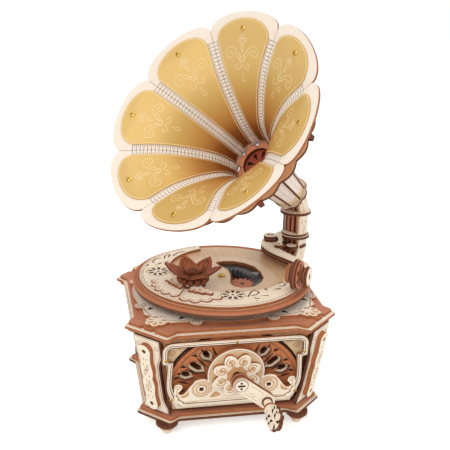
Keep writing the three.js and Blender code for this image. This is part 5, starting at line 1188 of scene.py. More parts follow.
# The crescent's marks: two roses, then drops by place, length, half width and way, then cuts, whose near-black is
# painted shade
ROSE_SPOTS = ((-58.5, 12), (0.5, -51.5))
CRESCENT_DROPS = (
    (38.0, -45.2, 8.2, 1.2, 8), (34.4, -43.6, 3.6, 1.7, 180), (24.0, -56.4, 7.6, 0.8, -10), (-60, 27.5, 9, 1.1, 40),
    (-52, 33, 7, 1.0, 24), (-22.5, -62, 7, 1.0, 170), (-68.4, 25.2, 6, 0.9, 64))
CRESCENT_CUTS = (
    ((47.1, -31.7), (50.7, -30.1), (52.8, -34.8), (49.2, -38.6), (45.8, -37.9)),
    ((12.6, -58.2), (16.3, -50.8), (19.1, -46.4), (22.4, -45.5), (24.7, -49.4), (21.2, -54.0), (16.1, -56.0)),
    ((18.0, -60.4), (19.6, -62.6), (22.4, -61.9)), ((-61.9, 35.1), (-57.8, 43.3), (-52.1, 46.6)),
    ((-48.9, 44.6), (-47.0, 52.0), (-42.5, 53.8), (-44.8, 47.0)), ((-40.0, 49.8), (-33.4, 58.7), (-26.5, 61.4)))
FLOWER_X, FLOWER_Y = -31.0, -24.0


def ribbed_disc():
    """The lowest ply: a broad stained rim over a finely ribbed edge."""
    piece = Piece("turntable_disc")
    edge = []
    for i in range(360):
        radius, a = 82.6 if i % 2 else 82.0, radians(i)
        edge.append((radius * cos(a), radius * sin(a)))
    piece.plate(edge, TABLE_LOW, RECORD_LOW, [ring(0, 0, 4.3, 32), WINDOW], "dark", "rib_edge", soft=0)
    rim, well = ring(0, 0, 83.2, 180), ring(0, 0, 77.5, 150)
    piece.plate(rim, RECORD_LOW, RIM_HIGH, [well], "orange_flat", "orange_flat", soft=0.35)
    piece.lines([ring(0, 0, 80.4, 160)], RIM_HIGH, 0.3, "engraved_deep", closed=True)
    piece.build("turntable")


def record():
    """The round plate with grooves cut round it."""
    piece = Piece("record")
    holes = [ring(0, 0, 2.2, 24), WINDOW]
    piece.plate(ring(0, 0, RECORD_RADIUS, 150), RECORD_LOW, RECORD_HIGH, holes, "record", "burnt")
    for i in range(22):
        piece.lines([ring(0, 0, 74.8 - 1.15 * i, 120)], RECORD_HIGH, 0.26, "groove", closed=True)
    piece.lines([inset(WINDOW, -1.1)], RECORD_HIGH, 0.4, closed=True)
    piece.build("turntable")


def crossing(x, y, radius, angle):
    """How far along a ray from the axis the circle round x, y is left."""
    near = x * cos(angle) + y * sin(angle)
    return near + sqrt(near * near - x * x - y * y + radius * radius)


def crescent_outline():
    """The record's edge, less a smaller circle that lies off its middle."""
    steps, start, stop = 90, radians(98), radians(366)
    inner = []
    for i in range(steps + 1):
        a = stop + (start - stop) * i / steps
        r = min(crossing(10, 12, 58.5, a), CRESCENT_RADIUS - 0.8)
        inner.append((r * cos(a), r * sin(a)))
    return arc(0, 0, CRESCENT_RADIUS, start, stop, 110) + inner


def crescent():
    """The engraved crescent plate on the record."""
    piece = Piece("crescent_plate")
    holes = [ring(-14.2, 72.9, 0.9, 14)]
    for turn in (128, 150, 286):
        a = radians(turn)
        holes.append(ring(69.4 * cos(a), 69.4 * sin(a), 0.9, 12))
    piece.plate(crescent_outline(), RECORD_HIGH, CRESCENT_HIGH, holes, "cream", "side_brown")
    for by, width, finish in ((75.4, 0.45, "engraved_deep"), (73.6, 0.5, "engraved")):
        piece.lines([arc(0, 0, by, radians(101), radians(362), 110)], CRESCENT_HIGH, width, finish)
    # The roses' drops and middles, the drops and the cuts are near-black: painted shade in cut-outs
    for x, y in ROSE_SPOTS:
        for k in range(9):
            a = k * FULL / 9
            piece.inlay(drop(x + 3.2 * cos(a), y + 3.2 * sin(a), 6.2, 1.7, a), CRESCENT_HIGH, "hollow_shade")
        piece.lines([lobed(x, y, 10.0, 1.2, 9, 6)], CRESCENT_HIGH, 0.7, "engraved", closed=True)
        piece.inlay(ring(x, y, 1.3, 14), CRESCENT_HIGH, "hollow_shade")
    for x, y, long, half, way in CRESCENT_DROPS:
        piece.inlay(drop(x, y, long, half, radians(way)), CRESCENT_HIGH, "hollow_shade")
    for path in CRESCENT_CUTS:
        piece.lines([spread(path, 5)], CRESCENT_HIGH, 1.3, "hollow_shade")
    piece.build("turntable")


# The ornament's two fans of scallops: middle, reach, first and last direction, and lobes.
# The low tier passes under the soundbox, and the high tier stays inside the tonearm's sweep.
LEAF_FANS = ((-34, -20, 35, 156, 246, 5), (-30, -28, 38, 234, 308, 4))
# Each tier: low, middle and high levels, limit from the axis, share of the reach, and brim
TIER_STEPS = ((CRESCENT_HIGH, 123.9, 124.5, 75.0, 1.0, 1.5), (124.5, 125.3, LEAF_HIGH, 57.5, 0.74, 1.3))


def scallop_fan(x, y, reach, start, stop, lobes, limit, steps=8):
    """A fan from the flower with a scalloped edge, kept inside a circle round the axis."""
    edge = []
    for i in range(lobes * steps + 1):
        swell = 0.9 + 0.1 * abs(sin(pi * i / steps))
        way = radians(start + (stop - start) * i / (lobes * steps))
        far = min(reach, crossing(-x, -y, limit, way)) * swell
        edge.append((x + far * cos(way), y + far * sin(way)))
    return [(x, y)] + edge


def leaf_ornament():
    """The two fans, each in two tiers of brown under cream, and the flower's round foot."""
    piece = Piece("leaf_ornament")
    for i, (x, y, reach, start, stop, lobes) in enumerate(LEAF_FANS):
        for low, middle, high, limit, share, brim in TIER_STEPS:
            sunk, narrow = 0.012 * i, 5 * (1 - share) / 0.26
            long, first, last = reach * share, start + narrow, stop - narrow

            def fan(by, turn):
                return scallop_fan(x, y, long - by, first + turn, last - turn, lobes, limit - by)

            piece.plate(fan(0, 0), low, middle - sunk, face="side_brown")
            piece.plate(fan(brim, 2), middle - sunk, high - sunk, edge="side_brown")
            piece.lines([fan(brim + 2.2, 5)[1:]], high - sunk, 0.6)
        for j in range(lobes):
            way = radians(start + (stop - start) * (j + 0.5) / lobes)
            piece.inlay(drop(x + 12 * cos(way), y + 12 * sin(way), 5.4, 1.5, way), LEAF_HIGH - sunk)
    piece.plate(ring(FLOWER_X, FLOWER_Y, 12, 40), CRESCENT_HIGH, LEAF_HIGH + 0.02, face="pale_and_lit_ply")
    piece.build("turntable")


def petal_blade(long, half):
    """A broad pointed petal with a waist near its foot."""
    widths = ((0, 2.6), (long * 0.2, half * 0.62), (long * 0.52, half), (long * 0.8, half * 0.66), (long, 0))
    side = spread(widths, 5)
    return [(x, -y) for x, y in side[:-1]] + side[::-1]


# A curled bracket under a petal: out from the flower's middle, and up
BRACKET = [(2, 0), (12.5, 0), (15.0, 2.4), (14.4, 5.6), (12.0, 6.4), (11.0, 4.8), (12.0, 3.6), (10.2, 2.8),
           (8.6, 5.0), (7.6, 8.6), (2, 9.6)]


def flower():
    """Six rising broad petals, an inner tier, and curled brackets that stand under them."""
    piece = Piece("flower")
    tilt, face, petals = atan2(15.5, 27), 2.3, 6
    foot = Matrix.Translation((FLOWER_X, FLOWER_Y, LEAF_HIGH))

    def rising(way, slope, lift=0):
        turn = Matrix.Rotation(way, 4, "Z") @ Matrix.Rotation(-slope, 4, "Y")
        return foot @ Matrix.Translation((0, 0, lift)) @ turn

    for k in range(petals):
        way = radians(-18) + k * FULL / petals
        between = way + pi / petals
        outer, inner = rising(way, tilt), rising(between, tilt * 1.5, 2.6)
        piece.plate(petal_blade(30.4, 8.2), 0.1, face, face="flower", place=outer)
        piece.lines([inset(petal_blade(27.0, 6.2), 0.6)], face, 0.7, "flower_line", outer, closed=True)
        piece.lines([[(6, 0), (25, 0)]], face, 0.7, "flower_line", outer)
        piece.plate(petal_blade(15.5, 5.0), 0.1, 2.2, face="flower", place=inner)
        for angle in (way, between):
            stand = foot @ Matrix.Rotation(angle, 4, "Z") @ Matrix.Rotation(pi / 2, 4, "X")
            piece.plate(BRACKET, -PLY / 2, PLY / 2, face="flower", place=stand)
    piece.lathe([(0, 0), (5.6, 0), (5.2, 5), (3.0, 12), (0, 14)], "dark", 16, foot)
    piece.build("turntable")


ribbed_disc()
record()
crescent()
leaf_ornament()
flower()

# ---- column, collars and neck ----

# The column's plies are drawn from the side: x away from the horn, y up and z across them
COLUMN_X, COLUMN_Y, COLUMN_TURN = 89.6, 71.3, radians(37.5)
COLUMN = Matrix.Translation((COLUMN_X, COLUMN_Y, 0)) @ Matrix((
    (cos(COLUMN_TURN), 0, sin(COLUMN_TURN), 0), (sin(COLUMN_TURN), 0, -cos(COLUMN_TURN), 0),
    (0, 1, 0, 0), (0, 0, 0, 1)))
COLUMN_LOW, COLUMN_CORE = 104.7, 8.2
COLUMN_FACE = COLUMN_CORE + PLY
# Half widths and woods of the plies between the two outer ones
PLIES = ((5.0, "dark"), (6.0, "brown_up"), (4.6, "dark"), (6.4, "rose"), (4.4, "dark"), (6.2, "brown_up"))
# The eyes engraved on its sides: how far out, how high, and their lean
COLUMN_EYES = ((-2.0, 117, 0.0), (0.0, 142, 0.0), (-4.6, 168, 0.5))
ELBOW_TURN, ELBOW_RADIUS, ELBOW_LOW = radians(52.7), 24.0, 160.01
COLLAR_LOW, COLLAR_HIGH = 131.5, 157.2


def column_outline(half):
    """The column's side view: a foot that sweeps out, a straight shaft and a bend to the horn's axis."""
    path = []
    for i in range(9):
        left = 1 - i / 8
        path.append((-10 * left * left, COLUMN_LOW + 19 * (1 - left), radians(26) * left))
    for i in range(13):
        turn = ELBOW_TURN * i / 12
        path.append((-ELBOW_RADIUS * (1 - cos(turn)), ELBOW_LOW + ELBOW_RADIUS * sin(turn), -turn))
    near = [(s + half * cos(a), max(z - half * sin(a), COLUMN_LOW)) for s, z, a in path]
    far = [(s - half * cos(a), max(z + half * sin(a), COLUMN_LOW)) for s, z, a in path]
    return near + far[::-1]


def column():
    """Plies of several woods between two engraved cream ones, with grooves where they are narrow and a near-black
    core in them as painted shade.
    """
    piece = Piece("column")
    step, gap = 2 * COLUMN_CORE / len(PLIES), 0.12
    for i, (half, wood) in enumerate(PLIES):
        low = -COLUMN_CORE + step * i
        piece.plate(column_outline(half), low + gap, low + step - gap, (), wood, wood, COLUMN, 0.25)
    # A near-black core between the plies: painted shade in the grooves
    piece.plate(column_outline(4.4), -COLUMN_CORE, COLUMN_CORE, (), "hollow_shade", "hollow_shade", COLUMN, 0)
    piece.plate(column_outline(7.0), COLUMN_CORE, COLUMN_FACE, (), "cream_up", "cream_side", COLUMN, 0.5)
    piece.plate(column_outline(6.2), -COLUMN_FACE, -COLUMN_CORE, (), "cream_up", "dark", COLUMN, 0.5)
    for face in (COLUMN_FACE, -COLUMN_FACE):
        for s, middle, lean in COLUMN_EYES:
            eye = leaf(s - 4.2 * cos(pi / 2 + lean), middle - 4.2, 8.4, 1.7, pi / 2 + lean, 8)
            piece.lines([eye], face, 0.7, "tan", COLUMN, closed=True)
            scroll = [curl(s + k * 3.4, middle + e * 6.8, 2.0, radians(90 * e), k * e * 1.1, 0.25, 16)
                      for k in (1, -1) for e in (1, -1)]
            piece.lines(scroll, face, 0.7, "tan", COLUMN)
    piece.build("case")


def notched(radius, teeth=24, cut=1.4):
    """A circle round the column with square notches."""
    points = []
    for i in range(teeth):
        for share, deep in ((0.0, 0), (0.55, 0), (0.6, cut), (0.95, cut)):
            a = FULL * (i + share) / teeth
            points.append(((radius - deep) * cos(a), (radius - deep) * sin(a)))
    return [(x + COLUMN_X, y + COLUMN_Y) for x, y in points]


HOOK = [(COLUMN_X + 31 * x, COLUMN_Y + 31 * y)
        for x, y in ((0, 0), (-0.4, 0.08), (-0.6, -0.2), (-0.62, -0.56), (-0.8, -0.99))]


def hook_outline():
    """The low collar's finger: broad at the collar and curving in to a round end."""
    line = spread(HOOK, 6)
    last = len(line) - 1
    left, right = [], []
    for i, (x, y) in enumerate(line):
        half = 6.4 - 4.2 * min(i / last * 1.4, 1)
        (x0, y0), (x1, y1) = line[max(i - 1, 0)], line[min(i + 1, last)]
        long = hypot(x1 - x0, y1 - y0)
        nx, ny = -(y1 - y0) / long, (x1 - x0) / long
        left.append((x + nx * half, y + ny * half))
        right.append((x - nx * half, y - ny * half))
    return left + right[::-1]


def collars():
    """The notched low collar with its finger, and the plain high one."""
    low = Piece("collar_low")
    top, step = COLLAR_LOW + PLY, COLLAR_LOW + PLY / 2
    low.plate(notched(15.5), COLLAR_LOW, step, face="brown")
    low.plate(ring(COLUMN_X, COLUMN_Y, 15.3, 64), step, top)
    low.plate(hook_outline(), COLLAR_LOW, top - APART)
    end_x, end_y = HOOK[-1]
    low.plate(ring(end_x, end_y, 4, 32), COLLAR_LOW, top + APART)
    # Near-black dots at the finger's end: painted shade in holes
    for k in range(5):
        a = FULL * k / 5
        low.inlay(ring(end_x + 1.7 * cos(a), end_y + 1.7 * sin(a), 0.75, 12), top + APART, "hollow_shade")
    low.inlay(ring(end_x, end_y, 0.6, 10), top + APART, "hollow_shade")
    low.plate(ring(COLUMN_X, COLUMN_Y, 13.4, 60), top, top + 2.2)
    low.build("case")
    high = Piece("collar_high")
    high.plate(ring(COLUMN_X, COLUMN_Y, 15.8, 72), COLLAR_HIGH, COLLAR_HIGH + PLY)
    high.lines([ring(COLUMN_X, COLUMN_Y, 14.6, 60)], COLLAR_HIGH + PLY, 0.3, closed=True)
    high.build("case")


# The neck along the horn's axis, with the radius of its corners at each end
NECK_LOW, NECK_HIGH, NECK_RING_LOW = 91.7, 150.1, 150.6
NECK_FOOT, NECK_TOP = 23.4, 16.2


def neck():
    """Eight tapered panels with dark cords at the corners; each panel has a line, a row of dots and an arch."""
    piece = Piece("neck")
    foot, top = NECK_FOOT * cos(HALF_SIDE), NECK_TOP * cos(HALF_SIDE)
    long = hypot(NECK_HIGH - NECK_LOW, foot - top)
    lean = atan2(foot - top, NECK_HIGH - NECK_LOW)
    c, s = cos(lean), sin(lean)
    stand = Matrix(((0, -s, c, foot), (1, 0, 0, 0), (0, c, s, NECK_LOW), (0, 0, 0, 1)))
    wide, narrow = NECK_FOOT * sin(HALF_SIDE) - 1.2, NECK_TOP * sin(HALF_SIDE) - 1.2
    panel_side = [(wide, 0), (narrow, long)]
    cord = [(NECK_FOOT - 0.75, 0, NECK_LOW), (NECK_TOP - 0.75, 0, NECK_HIGH)]
    for k in range(SIDES):
        seam = FIRST_SEAM + 2 * HALF_SIDE * k
        place = HORN @ Matrix.Rotation(seam + HALF_SIDE, 4, "Z") @ stand
        piece.plate(panel_side + mirrored(panel_side), -SHEET, 0, (), "neck_panel", "cream_up", place)
        piece.lines([[(0.6, 3), (0.3, long - 9)]], 0, 0.22, place=place)
        dots = []
        for i in range(26):
            y = 3 + (long - 16) * i / 26
            x = -(wide - 1.5) + (wide - narrow) * y / long
            dots.append([(x, y), (x, y + 0.9)])
        piece.lines(dots, 0, 0.3, "engraved_deep", place)
        arch = [(-narrow - 0.5, long - 9), (-narrow, long - 0.2), (narrow, long - 0.2), (narrow + 0.5, long - 9)]
        arch += [(narrow * 0.6 * cos(a), long - 8.2 + 2.0 * sin(a)) for a in [pi * i / 10 for i in range(11)]]
        piece.inlay(arch, 0, "tan_ply", place, thick=0.12)
        piece.rods([cord], 1.25, "burnt_dark", HORN @ Matrix.Rotation(seam, 4, "Z"))
    stopper = turned(ring(0, 0, 20.2, SIDES), FIRST_SEAM)
    piece.plate(stopper, NECK_LOW + 0.2, NECK_LOW + PLY, (), "dark", "dark", HORN)
    piece.build("case")


def neck_ring():
    """The scalloped ring between the neck and the column's elbow."""
    piece = Piece("neck_ring")
    outline = turned(lobed(0, 0, 17.3, 1.5, SIDES, 14), FIRST_SEAM)
    piece.plate(outline, NECK_RING_LOW, NECK_RING_LOW + 2.7, place=HORN)
    collar = turned(lobed(0, 0, 16.4, 1.2, SIDES, 14), FIRST_SEAM)
    piece.lines([collar], NECK_RING_LOW, 0.35, place=HORN, closed=True)
    piece.build("case")


column()
collars()
neck()
neck_ring()

# ---- crank and handle ----

# Drawn with x across, y up and z towards the front
CRANK_HIGH, HANDLE_X, HANDLE_Z = 60.0, 23.2, 42.4
CRANK = Matrix.Rotation(pi / 2, 4, "X")
HANDLE = CRANK @ Matrix.Translation((HANDLE_X, HANDLE_Z, 0))
ARM_FACE, CAP_FACE, GRIP_LOW = 99.6, 100.8, 110.5


def crank_arm():
    """Two plies from the shaft to the handle with a boss behind them, and the front's engraving."""
    piece = Piece("crank_arm")
    outline = pill(0, CRANK_HIGH, HANDLE_X, HANDLE_Z, 7, 18)
    shaft_hole = ring(0, CRANK_HIGH, 2.7, 20)
    holes = [shaft_hole, ring(HANDLE_X, HANDLE_Z, 3.2, 24)]
    middle = ARM_FACE - PLY
    piece.plate(outline, middle - PLY, middle - 0.05, holes, "brown", place=CRANK)
    piece.plate(outline, middle, ARM_FACE, holes, "cream", "burnt", CRANK)
    piece.plate(ring(0, CRANK_HIGH, 8.2, 48), 91.4, 93.5, [shaft_hole], "brown", place=CRANK)

    def on_arm(path):
        return turned(path, atan2(HANDLE_Z - CRANK_HIGH, HANDLE_X), 0, CRANK_HIGH)

    rails = [on_arm([(7.4, side), (21.5, side)]) for side in (4.6, -4.6)]
    wave = spread(on_arm([(10, -2.6), (13, -1.2), (15.5, -3.0), (17.5, -1.6)]), 5)
    piece.lines([ring(0, CRANK_HIGH, 6.1, 40)], ARM_FACE, 0.45, "engraved_deep", CRANK, closed=True)
    piece.lines(rails, ARM_FACE, 0.32, place=CRANK)
    piece.lines([wave], ARM_FACE, 0.3, place=CRANK)
    piece.build("crank")


def crank_cap():
    """The small disc over the shaft's end, with a slot between two dots."""
    piece = Piece("crank_cap")
    piece.plate(ring(0, CRANK_HIGH, 5.2, 40), ARM_FACE, CAP_FACE, place=CRANK)
    dots = [ring(0, CRANK_HIGH + up, 1.1, 14) for up in (2.6, -2.6)]
    # The slot and the dots are near-black skins: painted shade in them
    for mark in [box(3.2, 0.9, 0, CRANK_HIGH)] + dots:
        piece.inlay(mark, CAP_FACE, "hollow_shade", CRANK)
    piece.build("crank")


def handle_pin():
    """The pin, as long as the CAD node, with a wider part in front of the arm and a dark washer."""
    piece = Piece("handle_pin")
    cad_low, cad_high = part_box("handle_pin")
    back, front = -(cad_high.y - ORIGIN.y) / MM, -(cad_low.y - ORIGIN.y) / MM
    radius = (cad_high.x - cad_low.x) / MM / 2
    steps = [(0, back), (3, back), (3, ARM_FACE), (3.4, ARM_FACE + 0.1), (3.4, GRIP_LOW - 0.1), (2.6, GRIP_LOW),
             (2.6, front), (0, front)]
    piece.lathe(steps, "cream", 32, HANDLE)
    piece.plate(ring(0, 0, 4.8, 36), ARM_FACE, ARM_FACE + 1.1, [ring(0, 0, 3.3, 28)], "dark", place=HANDLE)
    piece.build("crank")


def lobe_chain(circles, steps=9):
    """The outer line of a closed chain of overlapping circles, taken anticlockwise."""
    line = []
    for i, (x, y, r) in enumerate(circles):
        turns = []
        for other, side in ((circles[i - 1], 1), (circles[(i + 1) % len(circles)], -1)):
            dx, dy = other[0] - x, other[1] - y
            apart = hypot(dx, dy)
            half = acos((r * r + apart * apart - other[2] ** 2) / (2 * r * apart))
            turns.append(atan2(dy, dx) + side * half)
        first, last = turns
        line += arc(x, y, r, first, first + (last - first) % FULL, steps)[:-1]
    return line


def grip_outline():
    """Scalloped plate: three lobes down each side and one at the end."""
    right = [(4.4, 119.8, 3.9), (4.7, 126.6, 4.0), (4.4, 133.4, 3.9)]
    left = [(-x, y, r) for x, y, r in right[::-1]]
    return lobe_chain([(0, 117.8, 3.4)] + right + [(0, 137.9, 3.8)] + left)


def handle_grip():
    """The scalloped plate with comma-shaped cuts on both sides, on a round collar."""
    piece = Piece("handle_grip")
    tilt, half = radians(58), 2.1
    place = Matrix.Translation((HANDLE_X, 0, HANDLE_Z)) @ Matrix((
        (-cos(tilt), 0, -sin(tilt), 0), (0, -1, 0, 0), (-sin(tilt), 0, cos(tilt), 0), (0, 0, 0, 1)))
    commas = []
    for side in (1, -1):
        for y in (119.6, 127.2):
            commas.append(drop(side * 1.2, y + 3.6, 5.6, 1.5, -pi / 2 + side * 0.5))
            commas.append(drop(side * 5.6, y + 2.6, 4.6, 1.1, -pi / 2 + side * 0.15))
        commas.append(drop(side * 1.1, 134.0, 5.8, 1.5, pi / 2 - side * 0.45))
    piece.plate(grip_outline(), -half, half, place=place)
    # The commas are near-black skins on both faces: painted shade in cuts
    for height in (-half, half):
        for comma in commas:
            piece.inlay(comma, height, "hollow_shade", place)
    piece.plate(ring(0, 0, 5.8, 40), GRIP_LOW, GRIP_LOW + PLY, edge="side_brown", place=HANDLE)
    piece.build("grip")


crank_arm()
crank_cap()
handle_pin()
handle_grip()

# ---- bracket, tonearm, knob and soundbox ----

PIVOT_X, PIVOT_Y, ARM_LOW, ARM_HIGH, BRACKET_LOW = 61.5, 62.0, 125.3, 131.0, 121.5
# The arm from its pivot: how far along, how far across and half width, as shares of its reach
ARM_REACH = 111.0
ARM_PATH = (
    (0, 0, 0.077), (0.108, -0.036, 0.072), (0.216, -0.032, 0.063), (0.306, -0.005, 0.059), (0.414, 0.05, 0.056),
    (0.54, 0.113, 0.05), (0.667, 0.14, 0.045), (0.793, 0.113, 0.043), (0.88, 0.07, 0.041))
# The soundbox stands on edge, with z out of its dial
BOX_TURN = radians(-33.5)
BOX = Matrix.Translation((59.5, -49, 138.3)) @ Matrix((
    (-sin(BOX_TURN), 0, cos(BOX_TURN), 0), (cos(BOX_TURN), 0, sin(BOX_TURN), 0), (0, 1, 0, 0), (0, 0, 0, 1)))
GUARD_FACE, HUB_FACE, DIAL_FACE = 2.6, 7.6, 11.2


def bracket():
    """The arm that holds the tonearm's brass pin out from the column, with a dark disc and a button on it."""
    piece = Piece("arm_bracket")
    top, pin_top = BRACKET_LOW + PLY, ARM_HIGH - 0.3
    piece.plate(pill(PIVOT_X, PIVOT_Y, COLUMN_X, COLUMN_Y, 7, 12), BRACKET_LOW, top - APART, face="brown")
    piece.plate(ring(COLUMN_X, COLUMN_Y, 12.6, 60), BRACKET_LOW, top, face="dark")
    pin = [(0, BRACKET_LOW), (2.2, BRACKET_LOW), (2.2, pin_top), (0, pin_top)]
    piece.lathe(pin, "brass", 24, Matrix.Translation((PIVOT_X, PIVOT_Y, 0)))
    piece.plate(ring(83.0, 57.8, 5.2, 36), BRACKET_LOW, top + 1.6)
    piece.build("case")


def arm_edge(side, spare=0.0, start=1):
    """One edge of the tonearm, drawn in by a spare width, from a little way past its pivot."""
    points = []
    for i, (along, across, half) in enumerate(ARM_PATH):
        after, before = ARM_PATH[min(i + 1, len(ARM_PATH) - 1)], ARM_PATH[max(i - 1, 0)]
        way = atan2(after[1] - before[1], after[0] - before[0])
        wide = side * (half * ARM_REACH - spare)
        points.append((PIVOT_X + ARM_REACH * across + wide * cos(way), PIVOT_Y - ARM_REACH * along + wide * sin(way)))
    return [p for p in spread(points, 6) if p[1] < PIVOT_Y - start]


def tonearm():
    """The curved arm: brown under cream, with a line along each edge."""
    piece = Piece("tonearm")
    outline = arm_edge(1)[::-1] + arc(PIVOT_X, PIVOT_Y, 8.5, 0, pi, 20) + arm_edge(-1)
    bore = ring(PIVOT_X, PIVOT_Y, 2.35, 20)
    piece.plate(outline, ARM_LOW, ARM_LOW + 2.8, [bore], "brown")
    piece.plate(outline, ARM_LOW + 2.85, ARM_HIGH, [bore])
    piece.lines([arm_edge(side, 1.6, 9) for side in (-1, 1)], ARM_HIGH, 0.32)
    piece.build("arm")


def arm_knob():
    """The nut over the pivot: a dark disc under a cream one with a lobed well."""
    piece = Piece("arm_knob")
    middle, top = ARM_HIGH + PLY, ARM_HIGH + 2 * PLY
    piece.plate(ring(PIVOT_X, PIVOT_Y, 6.2, 40), ARM_HIGH, middle, face="dark")
    piece.plate(ring(PIVOT_X, PIVOT_Y, 6.9, 48), middle, top, [lobed(PIVOT_X, PIVOT_Y, 2.4, 1.2, 6, 8)])
    piece.plate(ring(PIVOT_X, PIVOT_Y, 1.7, 24), middle, top - 0.3)
    piece.lines([ring(PIVOT_X, PIVOT_Y, 5.6, 40)], top, 0.3, closed=True)
    piece.build("arm")


def soundbox():
    """Discs from the back to the dial's eye, with a windowed guard ring that holds the needle."""
    piece = Piece("soundbox")
    bore = [ring(0, 0, 3.4, 24)]
    piece.plate(ring(0, 0, 9, 48), -9, -6.05, bore, "tan_ply", "side_brown", BOX)
    piece.plate(ring(0, 0, 8.4, 48), -6.05, -3, bore, "brown", place=BOX)
    piece.plate(ring(0, 0, 13.6, 64), -3, 0, [ring(0, 0, 2.0, 20)], "brown", place=BOX)
    piece.lines([ring(0, 0, 12.6, 60)], -3.02, 0.4, "engraved_deep", BOX, closed=True)
    gap = [(5.2, 0), (8, -1.4), (10.4, -2.7), (10.4, 2.7), (8, 1.4)]
    gaps = [turned(gap, FULL * (k + 0.5) / 6) for k in range(6)]
    foot = [(-1.6, -12.8), (-0.7, -13.9), (0.7, -13.9), (1.6, -12.8)]
    guard = arc(0, 0, 12.5, radians(-78), radians(258), 60) + foot
    piece.plate(guard, APART, GUARD_FACE, [ring(0, 0, 1.8, 20)] + gaps, "rose", place=BOX)
    piece.plate(ring(0, 0, 4.4, 32), GUARD_FACE, HUB_FACE, (), "brown", "side_brown", BOX)
    piece.plate(ring(0, 0, 7.4, 40), 5.2, HUB_FACE, (), "dark", place=BOX)
    eye = [(1.9 * cos(a), 2.9 * sin(a)) for a in [FULL * i / 24 for i in range(24)]]
    piece.plate(ring(0, 0, 8.6, 48), HUB_FACE, DIAL_FACE, [eye], "pale_and_lit_ply", place=BOX)
    # A near-black plug in the dial's eye: painted shade in the hole
    piece.plate(eye, 7.7, 9.2, (), "hollow_shade", "hollow_shade", BOX, 0)
    piece.lines([ring(0, 0, 7.4, 44)], DIAL_FACE, 0.35, place=BOX, closed=True)
    piece.rods([[(0, -13.4, 1.3), (0, -14.6, 1.3)]], 0.45, "steel", BOX)
    piece.build("arm")


bracket()
tonearm()
arm_knob()
soundbox()

# ---- studio ----

# The floor and the backdrop are one white sheet to the camera, and a pale floor under the part
FLOOR_HALF = 3.0
FLOOR_LIFT = 0.42
AMBIENT = 0.68


def studio_floor():
    """A broad pale floor, which is part of the stage and of no piece."""
    part = bmesh.new()
    bmesh.ops.create_grid(part, x_segments=2, y_segments=2, size=FLOOR_HALF)
    data = bpy.data.meshes.new("floor")
    part.to_mesh(data)
    part.free()
    shop = Shop("studio_floor")
    dust = shop.noise(0.004, 2, 0.5)
    white = shop.ramp(dust, *stops((0.3, "f4f4f4"), (0.7, "fafafa")))
    shop.finish(white, 0.9 - 0.1 * dust, Specular_IOR_Level=0.1)
    white_to_camera(shop)
    data.materials.append(shop.material)
    floor = bpy.data.objects.new("floor", data)
    bpy.context.scene.collection.objects.link(floor)


def white_to_camera(shop):
    """The floor shows white to the camera and in reflections, and keeps the part's shadow."""
    tree = shop.tree
    glow = tree.nodes.new("ShaderNodeEmission")
    glow.inputs["Color"].default_value = (1, 1, 1, 1)
    glow.inputs["Strength"].default_value = FLOOR_LIFT
    nothing = tree.nodes.new("ShaderNodeEmission")
    nothing.inputs["Strength"].default_value = 0
    mix, total = tree.nodes.new("ShaderNodeMixShader"), tree.nodes.new("ShaderNodeAddShader")
    tree.links.new(seen_ray(tree), mix.inputs[0])
    tree.links.new(nothing.outputs[0], mix.inputs[1])
    tree.links.new(glow.outputs[0], mix.inputs[2])
    tree.links.new(shop.shader.outputs[0], total.inputs[0])
    tree.links.new(mix.outputs[0], total.inputs[1])
    tree.links.new(total.outputs[0], tree.nodes["Material Output"].inputs["Surface"])


def seen_ray(tree):
    """One for rays from the camera, reflections and clear pieces."""
    rays = tree.nodes.new("ShaderNodeLightPath")
    link = rays.outputs["Is Camera Ray"]
    for name in ("Is Glossy Ray", "Is Transmission Ray"):
        either = tree.nodes.new("ShaderNodeMath")
        either.operation = "MAXIMUM"
        tree.links.new(link, either.inputs[0])
        tree.links.new(rays.outputs[name], either.inputs[1])
        link = either.outputs[0]
    return link


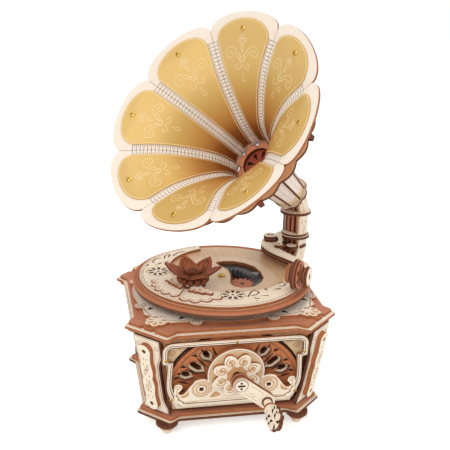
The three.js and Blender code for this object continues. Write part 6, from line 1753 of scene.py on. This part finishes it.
def studio_world():
    """A soft light from all round, and plain white behind the part."""
    world = bpy.data.worlds.new("studio")
    bpy.context.scene.world = world
    world.use_nodes = True
    tree = world.node_tree
    soft, seen = tree.nodes["Background"], tree.nodes.new("ShaderNodeBackground")
    soft.inputs["Color"].default_value = (*shade("fbfaf8"), 1)
    soft.inputs["Strength"].default_value = AMBIENT
    seen.inputs["Color"].default_value = (1, 1, 1, 1)
    seen.inputs["Strength"].default_value = 1
    mix = tree.nodes.new("ShaderNodeMixShader")
    tree.links.new(seen_ray(tree), mix.inputs[0])
    tree.links.new(soft.outputs[0], mix.inputs[1])
    tree.links.new(seen.outputs[0], mix.inputs[2])
    tree.links.new(mix.outputs[0], tree.nodes["World Output"].inputs["Surface"])


# Softboxes: place, aim, width and height in metres, and power in watts
SOFTBOXES = [
    ("key", (-0.9, -1.3, 1.5), (0, 0, 0.15), 1.1, 1.1, 16),
    ("fill", (1.4, -0.9, 0.9), (0, 0, 0.15), 0.9, 0.9, 6),
    ("top", (0.1, 0.5, 1.7), (0, 0, 0.1), 0.8, 0.8, 6),
]


def softboxes():
    for name, place, aim, wide, high, power in SOFTBOXES:
        lamp = bpy.data.lights.new(name, "AREA")
        lamp.shape, lamp.size, lamp.size_y, lamp.energy = "RECTANGLE", wide, high, power
        holder = bpy.data.objects.new(name, lamp)
        bpy.context.scene.collection.objects.link(holder)
        holder.location = place
        holder.rotation_euler = (Vector(aim) - Vector(place)).to_track_quat("-Z", "Y").to_euler()


# The photograph's viewing angle: place in millimetres round the turntable's axis, where it
# looks, its roll, and its lens on a 36 mm sensor
CAMERA_SPOT = (-134.77, -703.71, 415.42)
CAMERA_WAY = (0.18081, 0.92905, -0.32276)
CAMERA_ROLL = 1.21
LENS = 65.73


def studio_camera():
    """The photograph's view."""
    lens = bpy.data.cameras.new("camera")
    lens.lens, lens.sensor_width, lens.clip_start = LENS, 36.0, 0.01
    holder = bpy.data.objects.new("camera", lens)
    bpy.context.scene.collection.objects.link(holder)
    aim = Vector(CAMERA_WAY).to_track_quat("-Z", "Y").to_matrix().to_4x4()
    roll = Matrix.Rotation(radians(CAMERA_ROLL), 4, "Z")
    holder.matrix_world = Matrix.Translation(TO_FRAME @ Vector(CAMERA_SPOT)) @ aim @ roll
    bpy.context.scene.camera = holder


studio_floor()
studio_world()
softboxes()
studio_camera()
bpy.context.scene.view_settings.view_transform = "Standard"
